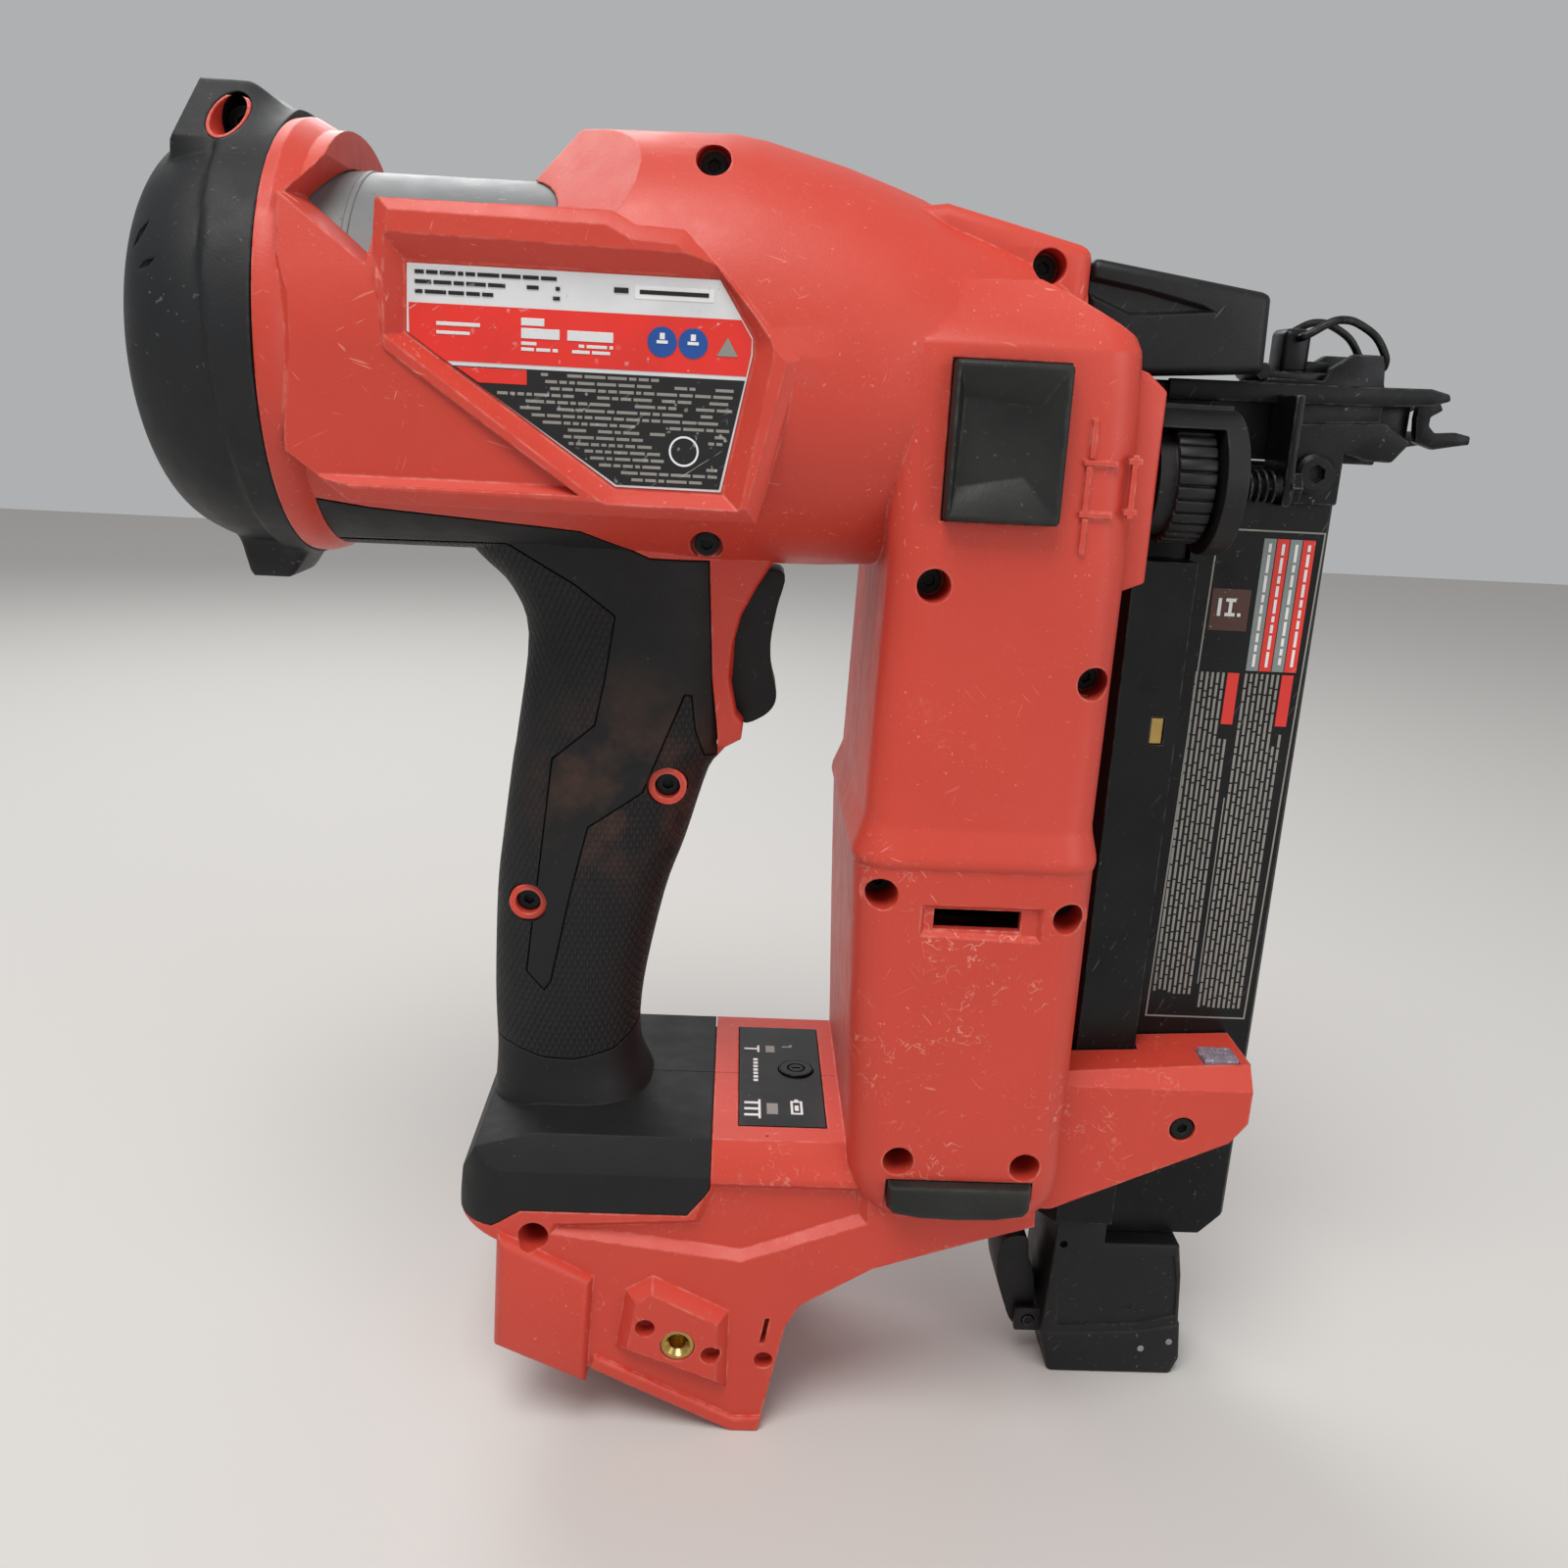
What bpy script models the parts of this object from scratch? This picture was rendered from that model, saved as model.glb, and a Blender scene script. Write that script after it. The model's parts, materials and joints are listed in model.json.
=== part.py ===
"""Cordless 18-gauge brad nailer, modelled as its separate pieces.

Units are metres.  +X is the driving direction, +Z is up and +Y is the tool's right-hand
side, so its left-hand side faces -Y.  The tool stands on the front of its battery foot and
on the end of its magazine, and the origin is the middle of its box on that surface.
"""
import math

import bmesh
import bpy
from mathutils import Matrix, Vector

# ---------------------------------------------------------------- driving dimensions
GAP = 0.0003                 # clearance between pieces that touch
SKIN = 0.0022                # thickness of the rubber overmould
WELD = 0.000001              # points closer than this are one point
FLAT = math.radians(0.15)    # faces that turn by less than this are one face

AXIS_Z = 0.2555              # axis of the barrel and of its pressure tank
DRIVE_Z = 0.2515             # line that the driver blade and the nail travel on
BARREL_HALF = 0.044          # half the width of the barrel
TANK_R = 0.036
CAP_R = 0.046                # rear cap
CAP_REAR_X = -0.1475
CAP_FRONT_X = -0.1133

COLUMN_X = 0.0385            # motor axis
COLUMN_HALF = 0.043
BUMPER_HALF = 0.046
ARM_INNER = 0.0087           # inner face of each half of the magazine arm
ARM_OUTER = 0.030
FOOT_HALF = 0.038
HANDLE_HALF = 0.0175

MOTOR_R = 0.020
MOTOR_LOW_Z = 0.086
MOTOR_HIGH_Z = 0.132
LIFTER_Y = 0.0156            # lifter shaft stands beside the driver
GEAR_LOW_Z = 0.172           # lifter gear and motor pinion
GEAR_HIGH_Z = 0.180
LIFTER_GEAR_R = 0.012
LIFTER_TEETH = 26
PINION_R = 0.0033
PINION_TEETH = 7

CYLINDER_R = 0.016           # drive cylinder inside the tank
PISTON_R = 0.0132
BLADE_HALF_Y = 0.003
BLADE_HALF_Z = 0.0008
BLADE_TIP_X = 0.1335
BLADE_TEETH = 7              # that the lifter's pins catch
BLADE_FIRST_TOOTH_X = 0.024
BLADE_PITCH = 0.009

MAG_LOW_Z = 0.040
MAG_TOP_Z = 0.2405
RAIL_X = (0.0672, 0.0862)    # fixed magazine rail, rear and front face
RAIL_HALF = 0.0165
SLIDE_X = (0.0866, 0.1186)   # sliding magazine cover
SLIDE_HALF = 0.008
TRACK_HALF = 0.0012          # half the width of the nail track

BATTERY_TILT = math.radians(27)     # slope of the battery rails
BATTERY_START = (-0.0457, 0.0173)   # rear end of the rails' lower edge
BATTERY_CLEAR = (0.031, 0.026)      # half widths above and between the rails
RAIL_LIP = 0.004
BATTERY_DEPTH = 0.020

RED = (0.62, 0.045, 0.03)
BLACK = (0.018, 0.018, 0.02)
RUBBER = (0.03, 0.032, 0.034)
STEEL = (0.10, 0.10, 0.11)
BRIGHT = (0.55, 0.56, 0.58)
BRASS = (0.60, 0.43, 0.16)
GREY = (0.33, 0.35, 0.38)

# ---------------------------------------------------------------- outlines, side view (X, Z)
BARREL_SECTIONS = (          # X, lowest Z, highest Z, half width
    (-0.1130, 0.2103, 0.3010, 0.0454),
    (-0.1070, 0.2108, 0.3000, 0.0446),
    (-0.0600, 0.2115, 0.3000, 0.0440),
    (-0.0540, 0.2115, 0.3023, 0.0440),
    (-0.0220, 0.2117, 0.3030, 0.0440),
    (0.0100, 0.2123, 0.2950, 0.0430),
    (0.0230, 0.2150, 0.2900, 0.0410),
    (0.0320, 0.2240, 0.2870, 0.0380),
)
HANDLE_SECTIONS = (          # Z, rear X, front X, half width
    (0.2200, -0.0860, -0.0170, 0.0190),
    (0.2110, -0.0775, -0.0168, 0.0180),
    (0.2040, -0.0703, -0.0166, HANDLE_HALF),
    (0.1930, -0.0663, -0.0164, HANDLE_HALF),
    (0.1700, -0.0688, -0.0178, HANDLE_HALF),
    (0.1620, -0.0700, -0.0225, HANDLE_HALF),
    (0.1440, -0.0722, -0.0277, HANDLE_HALF),
    (0.1290, -0.0737, -0.0325, HANDLE_HALF),
    (0.1040, -0.0743, -0.0372, 0.0172),
    (0.0880, -0.0738, -0.0376, 0.0175),
    (0.0780, -0.0742, -0.0340, 0.0200),
    (0.0640, -0.0750, -0.0300, 0.0240),
)
HOOD = ((0.0050, 0.2580), (0.0050, 0.2960), (0.0194, 0.2925), (0.0230, 0.2900), (0.0543, 0.2828),
        (0.0543, 0.2580))
LABEL_PANEL = ((-0.1000, 0.2260), (-0.1000, 0.2765), (-0.0925, 0.2710), (-0.0850, 0.2805),
               (-0.0360, 0.2775), (-0.0100, 0.2590), (-0.0170, 0.2250))
TANK_WINDOW = ((-0.1055, 0.2905), (-0.1000, 0.2768), (-0.0925, 0.2712), (-0.0850, 0.2807),
               (-0.0660, 0.2830), (-0.0640, 0.2930), (-0.0540, 0.3026), (-0.0540, 0.3200),
               (-0.1055, 0.3200))
UPPER_COLUMN = ((0.0125, 0.1560), (0.0140, 0.2190), (0.0110, 0.2480), (0.0130, 0.2695),
                (0.0533, 0.2780), (0.0624, 0.2647), (0.0645, 0.2107), (0.0640, 0.1560))
LOWER_COLUMN = ((0.0105, 0.1530), (0.0120, 0.1190), (0.0140, 0.0740), (0.0230, 0.0605),
                (0.0610, 0.0600), (0.0645, 0.0670), (0.0650, 0.1530))
COLUMN_BULGE = ((0.0600, 0.2123), (0.0645, 0.2128), (0.0697, 0.2150), (0.0697, 0.2545),
                (0.0655, 0.2580), (0.0600, 0.2600))
FOOT = ((-0.0790, 0.0560), (-0.0775, 0.0680), (-0.0740, 0.0755), (-0.0600, 0.0785),
        (0.0200, 0.0785), (0.0450, 0.0785), (0.0600, 0.0700), (0.0604, 0.0600),
        (0.0453, 0.0551), (0.0220, 0.0470), (0.0050, 0.0362), (0.0017, 0.0300),
        (-0.0038, 0.0000), (-0.0105, 0.0000), (-0.0457, 0.0173), (-0.0484, 0.0161),
        (-0.0679, 0.0249), (-0.0680, 0.0520))
FOOT_CROSS = ((-FOOT_HALF, -0.0100), (-FOOT_HALF, 0.0705), (-0.0330, 0.0794),
              (0.0330, 0.0794), (FOOT_HALF, 0.0705), (FOOT_HALF, -0.0100))
ARM = ((0.0580, 0.0960), (0.1120, 0.0990), (0.1120, 0.0850), (0.1080, 0.0796), (0.0660, 0.0600),
       (0.0580, 0.0600))
GRIP_AREA = ((-0.1060, 0.2240), (-0.0955, 0.2225), (-0.0518, 0.2192), (-0.0374, 0.2131),
             (-0.0243, 0.2127), (-0.0227, 0.1855), (-0.0210, 0.1725), (-0.0210, 0.1655),
             (-0.0100, 0.1600), (-0.0100, 0.0960), (-0.0183, 0.0960), (-0.0183, 0.0672),
             (-0.0235, 0.0604), (-0.0630, 0.0604), (-0.0700, 0.0560), (-0.0900, 0.0555),
             (-0.1060, 0.2000))
TRIGGER = ((-0.0067, 0.2097), (-0.0094, 0.1939), (-0.0069, 0.1820), (-0.0097, 0.1765),
           (-0.0155, 0.1738), (-0.0172, 0.1790), (-0.0250, 0.1850), (-0.0250, 0.2080),
           (-0.0200, 0.2105))
TRIGGER_PIVOT = (-0.0200, 0.2050)

# Screws that join the halves from the left: name, X, Z, distance of the head's seat from Y = 0
SCREWS = (
    ("barrel_top", -0.0259, 0.2945, 0.016), ("hood", 0.0449, 0.2786, 0.012),
    ("barrel_bottom", -0.0247, 0.2172, 0.016), ("column_top", 0.0232, 0.2133, 0.030),
    ("grip_top", -0.0320, 0.1600, 0.010), ("grip_low", -0.0645, 0.1297, 0.010),
    ("column_rear", 0.0170, 0.1453, 0.030), ("column_front", 0.0590, 0.1410, 0.030),
    ("column_side", 0.0590, 0.1940, 0.030), ("foot_rear", -0.0598, 0.0535, 0.026),
    ("column_low_rear", 0.0254, 0.0796, 0.030), ("column_low_front", 0.0552, 0.0788, 0.030),
)
SCREW_END_Y = 0.0085         # the screws' tips, in the right half
SCREW_R = 0.0016
SCREW_HEAD_R = 0.0027
SCREW_BORE_R = 0.0030
POST_R = 0.0045
PIN_R = 0.0015

# Low corner (X, Z), high corner (X, Z) and the Y of the seat behind each bumper
UPPER_BUMPER = ((0.0236, 0.2270), (0.0472, 0.2586), 0.0395)
LOWER_BUMPER = ((0.0232, 0.0668), (0.0573, 0.0750), 0.0405)
HOOK_PAD = ((-0.0374, 0.0245), (-0.0140, 0.0153), (-0.0142, 0.0330), (-0.0309, 0.0413),
            (-0.0355, 0.0384))
HOOK_PAD_Y = 0.0415
HOOK_POINT = (-0.0244, 0.0263)      # threaded insert for the belt hook
INSERT_R = 0.0032
ARM_SCREW = (0.0960, 0.0830)
NOSE_SCREW = (0.1110, 0.2388)
DOOR_PIVOT = (0.0985, 0.2604)
LATCH_PIVOT = (0.1060, 0.2680)
LEVER_PIVOT = (0.0690, 0.0130)
BUTTON = (0.0032, 0.0026)
DEPTH_Y = -0.0212            # depth wheel's axis, beside the magazine
DEPTH_Z = 0.2360
LENS = ((0.1010, -0.0255, 0.0960), (0.1095, -0.0180, 0.0996))

# Square rooms inside the two halves: low corner, high corner
ROOMS = {
    "mechanism": ((0.0030, -0.028, 0.2290), (0.0300, 0.028, 0.2720)),
    "hood_space": ((0.0030, -0.015, 0.2620), (0.0513, 0.015, 0.2780)),
    "nose_opening": ((0.0500, -0.0125, 0.2375), (0.0800, 0.0125, 0.2665)),
    "hood_seat": ((0.0546, -0.0175, 0.2575), (0.0800, 0.0175, 0.2850)),
    "rod_opening": ((0.0580, -0.0250, 0.2320), (0.0800, -0.0170, 0.2400)),
    "rail_clearance": ((0.0655, -0.0170, 0.0500), (0.0869, 0.0170, 0.1050)),
    "rail_top_room": ((0.0668, -0.0170, 0.2060), (0.0800, 0.0170, 0.2415)),
    "left_vent": ((0.0290, -0.050, 0.1374), (0.0485, -0.035, 0.1422)),
    "right_vent": ((0.0290, 0.035, 0.1374), (0.0485, 0.050, 0.1422)),
    "foot_space": ((-0.0620, -0.024, 0.0450), (0.0100, 0.024, 0.0735)),
    "foot_passage": ((0.0090, -0.020, 0.0640), (0.0250, 0.020, 0.0730)),
    "trigger_slot": ((-0.0270, -0.0072, 0.1700), (-0.0060, 0.0072, 0.2112)),
    "panel_pocket": ((-0.0119, -0.0272, 0.0753), (0.0099, 0.0272, 0.0850)),
    "button_hole": ((-0.0008, -0.0014, 0.0700), (0.0072, 0.0066, 0.0770)),
}
UPPER_SPACE = ((0.0165, 0.1570), (0.0172, 0.2190), (0.0165, 0.2640), (0.0520, 0.2690),
               (0.0590, 0.2620), (0.0605, 0.1570))
UPPER_SPACE_HALF = 0.0385
LOWER_SPACE = ((0.0160, 0.1580), (0.0165, 0.1190), (0.0175, 0.0760), (0.0245, 0.0640),
               (0.0590, 0.0635), (0.0612, 0.0690), (0.0612, 0.1580))
LOWER_SPACE_HALF = 0.0395

MODEL = bpy.data.collections.new("brad_nailer")
CUTTERS = bpy.data.collections.new("cutters")


# ---------------------------------------------------------------- modelling helpers
def reset_scene():
    for old in list(bpy.data.objects):
        bpy.data.objects.remove(old, do_unlink=True)
    bpy.context.scene.collection.children.link(MODEL)
    bpy.context.scene.collection.children.link(CUTTERS)


def add_object(name, mesh):
    """A working object; it stays among the cutters until finish() makes it a piece."""
    made = bpy.data.objects.new(name, mesh)
    CUTTERS.objects.link(made)
    made.hide_render = True
    made.display_type = "WIRE"
    return made


def from_bmesh(name, bm):
    mesh = bpy.data.meshes.new(name)
    bmesh.ops.recalc_face_normals(bm, faces=bm.faces)
    bmesh.ops.triangulate(bm, faces=bm.faces)
    bm.to_mesh(mesh)
    bm.free()
    return add_object(name, mesh)


def bake(made):
    """Replace an object's curve or modifiers by the mesh that they make, welded."""
    bpy.context.view_layer.update()
    graph = bpy.context.evaluated_depsgraph_get()
    mesh = bpy.data.meshes.new_from_object(made.evaluated_get(graph))
    bm = bmesh.new()
    bm.from_mesh(mesh)
    bm.transform(made.matrix_world)
    bmesh.ops.remove_doubles(bm, verts=bm.verts, dist=WELD)
    bmesh.ops.dissolve_degenerate(bm, edges=bm.edges, dist=WELD)
    bmesh.ops.dissolve_limit(bm, angle_limit=FLAT, verts=bm.verts, edges=bm.edges)
    bmesh.ops.triangulate(bm, faces=bm.faces)
    bm.to_mesh(mesh)
    bm.free()
    name = made.name
    bpy.data.objects.remove(made, do_unlink=True)
    return add_object(name, mesh)


def bevelled(made, width, segments=2, angle=math.radians(28)):
    bevel = made.modifiers.new("bevel", "BEVEL")
    bevel.width = width
    bevel.segments = segments
    bevel.limit_method = "ANGLE"
    bevel.angle_limit = angle
    return bake(made)


def plate(name, outline, low, high, axis="Y", bevel=0.0, segments=2):
    """A flat outline given thickness from low to high along an axis.

    Along Y the outline is (X, Z), along X it is (Y, Z) and along Z it is (X, Y).
    """
    curve = bpy.data.curves.new(name, "CURVE")
    curve.dimensions = "2D"
    curve.fill_mode = "BOTH"
    curve.extrude = (high - low) / 2
    spline = curve.splines.new("POLY")
    spline.points.add(len(outline) - 1)
    for point, (u, v) in zip(spline.points, outline):
        point.co = (u, v, 0.0, 1.0)
    spline.use_cyclic_u = True
    made = add_object(name, curve)
    middle = (low + high) / 2
    turn = {"Y": Matrix(((1, 0, 0, 0), (0, 0, -1, 0), (0, 1, 0, 0), (0, 0, 0, 1))),
            "X": Matrix(((0, 0, 1, 0), (1, 0, 0, 0), (0, 1, 0, 0), (0, 0, 0, 1))),
            "Z": Matrix.Identity(4)}[axis]
    offset = {"Y": (0, middle, 0), "X": (middle, 0, 0), "Z": (0, 0, middle)}[axis]
    made.matrix_world = Matrix.Translation(offset) @ turn
    solid = bake(made)
    return bevelled(solid, bevel, segments) if bevel else solid


def box(name, low, high, bevel=0.0, segments=2):
    bm = bmesh.new()
    bmesh.ops.create_cube(bm, size=1.0)
    size = Vector(high) - Vector(low)
    bmesh.ops.scale(bm, vec=size, verts=bm.verts)
    bmesh.ops.translate(bm, vec=(Vector(low) + Vector(high)) / 2, verts=bm.verts)
    mesh = bpy.data.meshes.new(name)
    bm.to_mesh(mesh)
    bm.free()
    solid = add_object(name, mesh)
    return bevelled(solid, bevel, segments) if bevel else bake(solid)


def rod(name, start, end, radius, sides=16, end_radius=None):
    """A cylinder or cone between two points."""
    start, end = Vector(start), Vector(end)
    along = end - start
    bm = bmesh.new()
    bmesh.ops.create_cone(bm, cap_ends=True, segments=sides, radius1=radius,
                          radius2=radius if end_radius is None else end_radius,
                          depth=along.length)
    turn = Vector((0, 0, 1)).rotation_difference(along).to_matrix().to_4x4()
    bm.transform(Matrix.Translation((start + end) / 2) @ turn)
    return from_bmesh(name, bm)


def turned(name, profile, centre, sides=32):
    """A profile of (radius, X) turned about an axis along X through centre (Y, Z)."""
    bm = bmesh.new()
    points = [bm.verts.new((radius, 0.0, x)) for radius, x in profile]
    for first, second in zip(points, points[1:]):
        bm.edges.new((first, second))
    mesh = bpy.data.meshes.new(name)
    bm.to_mesh(mesh)
    bm.free()
    made = add_object(name, mesh)
    screw = made.modifiers.new("turn", "SCREW")
    screw.axis = "Z"
    screw.steps = sides
    screw.render_steps = sides
    screw.use_merge_vertices = True
    screw.merge_threshold = 0.00001
    made.matrix_world = Matrix.Translation((0, centre[0], centre[1])) @ Matrix.Rotation(
        math.radians(90), 4, "Y")
    solid = bake(made)
    bm = bmesh.new()
    bm.from_mesh(solid.data)
    bmesh.ops.recalc_face_normals(bm, faces=bm.faces)
    bm.to_mesh(solid.data)
    bm.free()
    return solid


def loft(name, rings):
    """Skin a row of rings that have the same number of points, with flat ends."""
    bm = bmesh.new()
    loops = [[bm.verts.new(point) for point in ring] for ring in rings]
    for low, high in zip(loops, loops[1:]):
        for here in range(len(low)):
            there = (here + 1) % len(low)
            bm.faces.new((low[here], low[there], high[there], high[here]))
    bm.faces.new(list(reversed(loops[0])))
    bm.faces.new(loops[-1])
    return from_bmesh(name, bm)


def superellipse(half_a, half_b, power, sides):
    """Points of a rounded rectangle-like oval about the origin."""
    points = []
    for step in range(sides):
        turn = 2 * math.pi * (step + 0.5) / sides
        c, s = math.cos(turn), math.sin(turn)
        points.append((half_a * math.copysign(abs(c) ** (2 / power), c),
                       half_b * math.copysign(abs(s) ** (2 / power), s)))
    return points


def wire(name, points, radius, resolution=2):
    """A round wire along points, with closed ends."""
    curve = bpy.data.curves.new(name, "CURVE")
    curve.dimensions = "3D"
    curve.bevel_depth = radius
    curve.bevel_resolution = resolution
    curve.use_fill_caps = True
    spline = curve.splines.new("POLY")
    spline.points.add(len(points) - 1)
    for point, place in zip(spline.points, points):
        point.co = (*place, 1.0)
    return bake(add_object(name, curve))


def coil(name, start, axis, length, radius, wire_radius, turns, per_turn=10):
    """A helical spring that starts at a point and runs along an axis."""
    turn_to = Vector((0, 0, 1)).rotation_difference(Vector(axis)).to_matrix()
    count = turns * per_turn
    points = []
    for step in range(count + 1):
        angle = 2 * math.pi * step / per_turn
        local = Vector((radius * math.cos(angle), radius * math.sin(angle),
                        length * step / count))
        points.append(Vector(start) + turn_to @ local)
    return wire(name, points, wire_radius)


def combine(solid, tools, operation):
    for tool in tools:
        boolean = solid.modifiers.new("boolean", "BOOLEAN")
        boolean.operation = operation
        boolean.solver = "EXACT"
        boolean.object = tool
        solid = bake(solid)
        bpy.data.objects.remove(tool, do_unlink=True)
    return solid


def union(target, *tools):
    return combine(target, tools, "UNION")


def cut(target, *tools):
    return combine(target, tools, "DIFFERENCE")


def keep(target, *tools):
    return combine(target, tools, "INTERSECT")


def copy_of(source, name):
    return add_object(name, source.data.copy())


def grown(outline, distance):
    """The same outline with every side moved outwards by a distance."""
    area = sum(a[0] * b[1] - b[0] * a[1] for a, b in zip(outline, outline[1:] + outline[:1]))
    side = distance if area > 0 else -distance
    moved = []
    for index, point in enumerate(outline):
        before = Vector(point) - Vector(outline[index - 1])
        after = Vector(outline[(index + 1) % len(outline)]) - Vector(point)
        first = Vector((before.y, -before.x)).normalized()
        second = Vector((after.y, -after.x)).normalized()
        mitre = (first + second).normalized()
        step = mitre * side / max(mitre.dot(first), 0.4)
        moved.append((point[0] + step.x, point[1] + step.y))
    return tuple(moved)


def material(name, colour, roughness, metallic=0.0):
    made = bpy.data.materials.get(name) or bpy.data.materials.new(name)
    made.use_nodes = True
    shader = made.node_tree.nodes["Principled BSDF"]
    shader.inputs["Base Color"].default_value = (*colour, 1.0)
    shader.inputs["Roughness"].default_value = roughness
    shader.inputs["Metallic"].default_value = metallic
    return made


def finish(made, name, finish_material, origin=None):
    """Turn a working object into a piece: its name, material, shading and origin."""
    CUTTERS.objects.unlink(made)
    MODEL.objects.link(made)
    made.name = name
    made.data.name = name
    made.hide_render = False
    made.display_type = "TEXTURED"
    made.data.materials.clear()
    made.data.materials.append(finish_material)
    made.data.shade_smooth()
    made.data.set_sharp_from_angle(angle=math.radians(32))
    if origin is not None:
        made.data.transform(Matrix.Translation(-Vector(origin)))
        made.location = origin
    return made


# ---------------------------------------------------------------- shared outer shapes
def barrel(inset=0.0):
    rings = []
    for index, (x, low, high, half) in enumerate(BARREL_SECTIONS):
        if index in (0, len(BARREL_SECTIONS) - 1):
            x += math.copysign(inset, -x)
        centre = (low + high) / 2
        oval = superellipse(half - inset, (high - low) / 2 - inset, 2.15, 36)
        rings.append([(x, y, centre + z) for y, z in oval])
    return loft("barrel", rings)


def handle(inset=0.0):
    rings = []
    for z, rear, front, half in HANDLE_SECTIONS:
        centre = (rear + front) / 2
        oval = superellipse((front - rear) / 2 - inset, half - inset, 2.5, 24)
        rings.append([(centre + x, y, z) for x, y in oval])
    return loft("handle", rings)


def foot(inset=0.0):
    side = plate("foot", grown(FOOT, -inset), -0.045, 0.045)
    cross = plate("foot_cross", grown(FOOT_CROSS, -inset), -0.090, 0.070, axis="X")
    return keep(side, cross)


def column():
    upper = plate("upper_column", UPPER_COLUMN, 0.0015 - COLUMN_HALF, COLUMN_HALF - 0.0015,
                  bevel=0.006)
    lower = plate("lower_column", LOWER_COLUMN, -COLUMN_HALF, COLUMN_HALF, bevel=0.006)
    step = plate("column_step", ((0.0135, 0.1480), (0.0135, 0.1600), (0.0625, 0.1600),
                                 (0.0625, 0.1480)), -0.0397, 0.0397)
    bulge = plate("column_bulge", COLUMN_BULGE, -0.033, 0.033, bevel=0.002, segments=1)
    return union(upper, lower, step, bulge)


def arm():
    halves = []
    for side in (-1, 1):
        low, high = sorted((side * ARM_INNER, side * ARM_OUTER))
        halves.append(plate("arm", ARM, low, high, bevel=0.002, segments=1))
    return halves


def label_panel():
    return plate("label_panel", LABEL_PANEL, -BARREL_HALF - 0.0002, BARREL_HALF + 0.0002,
                 bevel=0.0015, segments=1)


def hood():
    return plate("hood", HOOD, -0.020, 0.020, bevel=0.003)


def sloped(name, along_range, up_range, half):
    """A block whose sides follow the battery rails' slope, measured from their rear end."""
    along = Vector((math.cos(BATTERY_TILT), -math.sin(BATTERY_TILT)))
    up = Vector((math.sin(BATTERY_TILT), math.cos(BATTERY_TILT)))
    start = Vector(BATTERY_START)
    corners = [start + along * a + up * u
               for a, u in ((along_range[0], up_range[0]), (along_range[1], up_range[0]),
                            (along_range[1], up_range[1]), (along_range[0], up_range[1]))]
    return plate(name, [tuple(corner) for corner in corners], -half, half)


def battery_cavity():
    """Space for the battery's rails and the opening between them, along the slope."""
    return [sloped("rail_space", (0.002, 0.067), (RAIL_LIP, BATTERY_DEPTH), BATTERY_CLEAR[0]),
            sloped("rail_gap", (0.002, 0.067), (-0.006, RAIL_LIP + 0.0005), BATTERY_CLEAR[1])]


def bumper_pockets():
    tools = []
    for side in (-1, 1):
        for low, high, seat in (UPPER_BUMPER, LOWER_BUMPER):
            near, far = sorted((side * (seat - GAP), side * 0.050))
            tools.append(box("pocket", (low[0] - GAP, near, low[1] - GAP),
                             (high[0] + GAP, far, high[1] + GAP)))
    return tools


def hook_pads():
    """Raised pad on each side of the foot that a belt hook is screwed to."""
    pads = []
    for side in (-1, 1):
        near, far = sorted((side * (FOOT_HALF - 0.001), side * HOOK_PAD_Y))
        pads.append(plate("hook_pad", HOOK_PAD, near, far))
    return pads


def hook_insert_bores():
    x, z = HOOK_POINT
    return [rod("insert_bore", (x, side * 0.045, z), (x, side * 0.0335, z), INSERT_R + GAP, 14)
            for side in (-1, 1)]


# ---------------------------------------------------------------- housing and grip
def housing_cavities():
    """Everything that is hollow inside the two halves."""
    tools = [rod("tank_bore", (-0.120, 0, AXIS_Z), (0.004, 0, AXIS_Z), TANK_R + GAP, 36)]
    tools += [box(name, low, high) for name, (low, high) in ROOMS.items()]
    for outline, half in ((UPPER_SPACE, UPPER_SPACE_HALF), (LOWER_SPACE, LOWER_SPACE_HALF)):
        tools.append(plate("column_space", outline, -half, half, bevel=0.003, segments=1))
    tools.append(sloped("terminal_slot", (0.0080, 0.0310), (0.0150, 0.0275), 0.0205))
    x, z = TRIGGER_PIVOT
    tools.append(rod("pin_bore", (x, -0.0098, z), (x, 0.0098, z), PIN_R + GAP, 10))
    return tools


def handle_space():
    rings = []
    for z, rear, front, half in HANDLE_SECTIONS[1:]:
        oval = superellipse((front - rear) / 2 - 0.0062, half - 0.0058, 2.5, 16)
        rings.append([((rear + front) / 2 + x, y, z) for x, y in oval])
    return loft("handle_space", rings)


def screw_posts():
    """Screw posts that stand in the hollow parts and meet at the parting plane."""
    posts = []
    for name, x, z, _ in SCREWS:
        if name.startswith("column"):
            space_half = UPPER_SPACE_HALF if z > LOWER_COLUMN[0][1] else LOWER_SPACE_HALF
            reach = space_half + 0.0002
            posts.append(rod("post", (x, -reach, z), (x, reach, z), POST_R, 12))
        if name.startswith("grip"):
            posts.append(rod("post", (x, -0.0148, z), (x, 0.0080, z), POST_R, 12))
        if name == "hood":
            posts.append(rod("post", (x, -0.0160, z), (x, 0.0160, z), POST_R, 12))
        if name == "foot_rear":
            posts.append(rod("post", (x, -0.0250, z), (x, 0.0250, z), POST_R, 12))
    return posts


def pilot_bores():
    """Narrow holes that the screws' shanks pass through and bite into."""
    return [rod("pilot", (x, -seat - 0.001, z), (x, SCREW_END_Y + GAP, z), SCREW_R + GAP, 8)
            for _, x, z, seat in SCREWS]


def head_bores():
    """Wide holes from the left that the screws' heads sit in."""
    return [rod("bore", (x, -0.055, z), (x, -seat, z), SCREW_BORE_R, 14)
            for _, x, z, seat in SCREWS]


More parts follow.
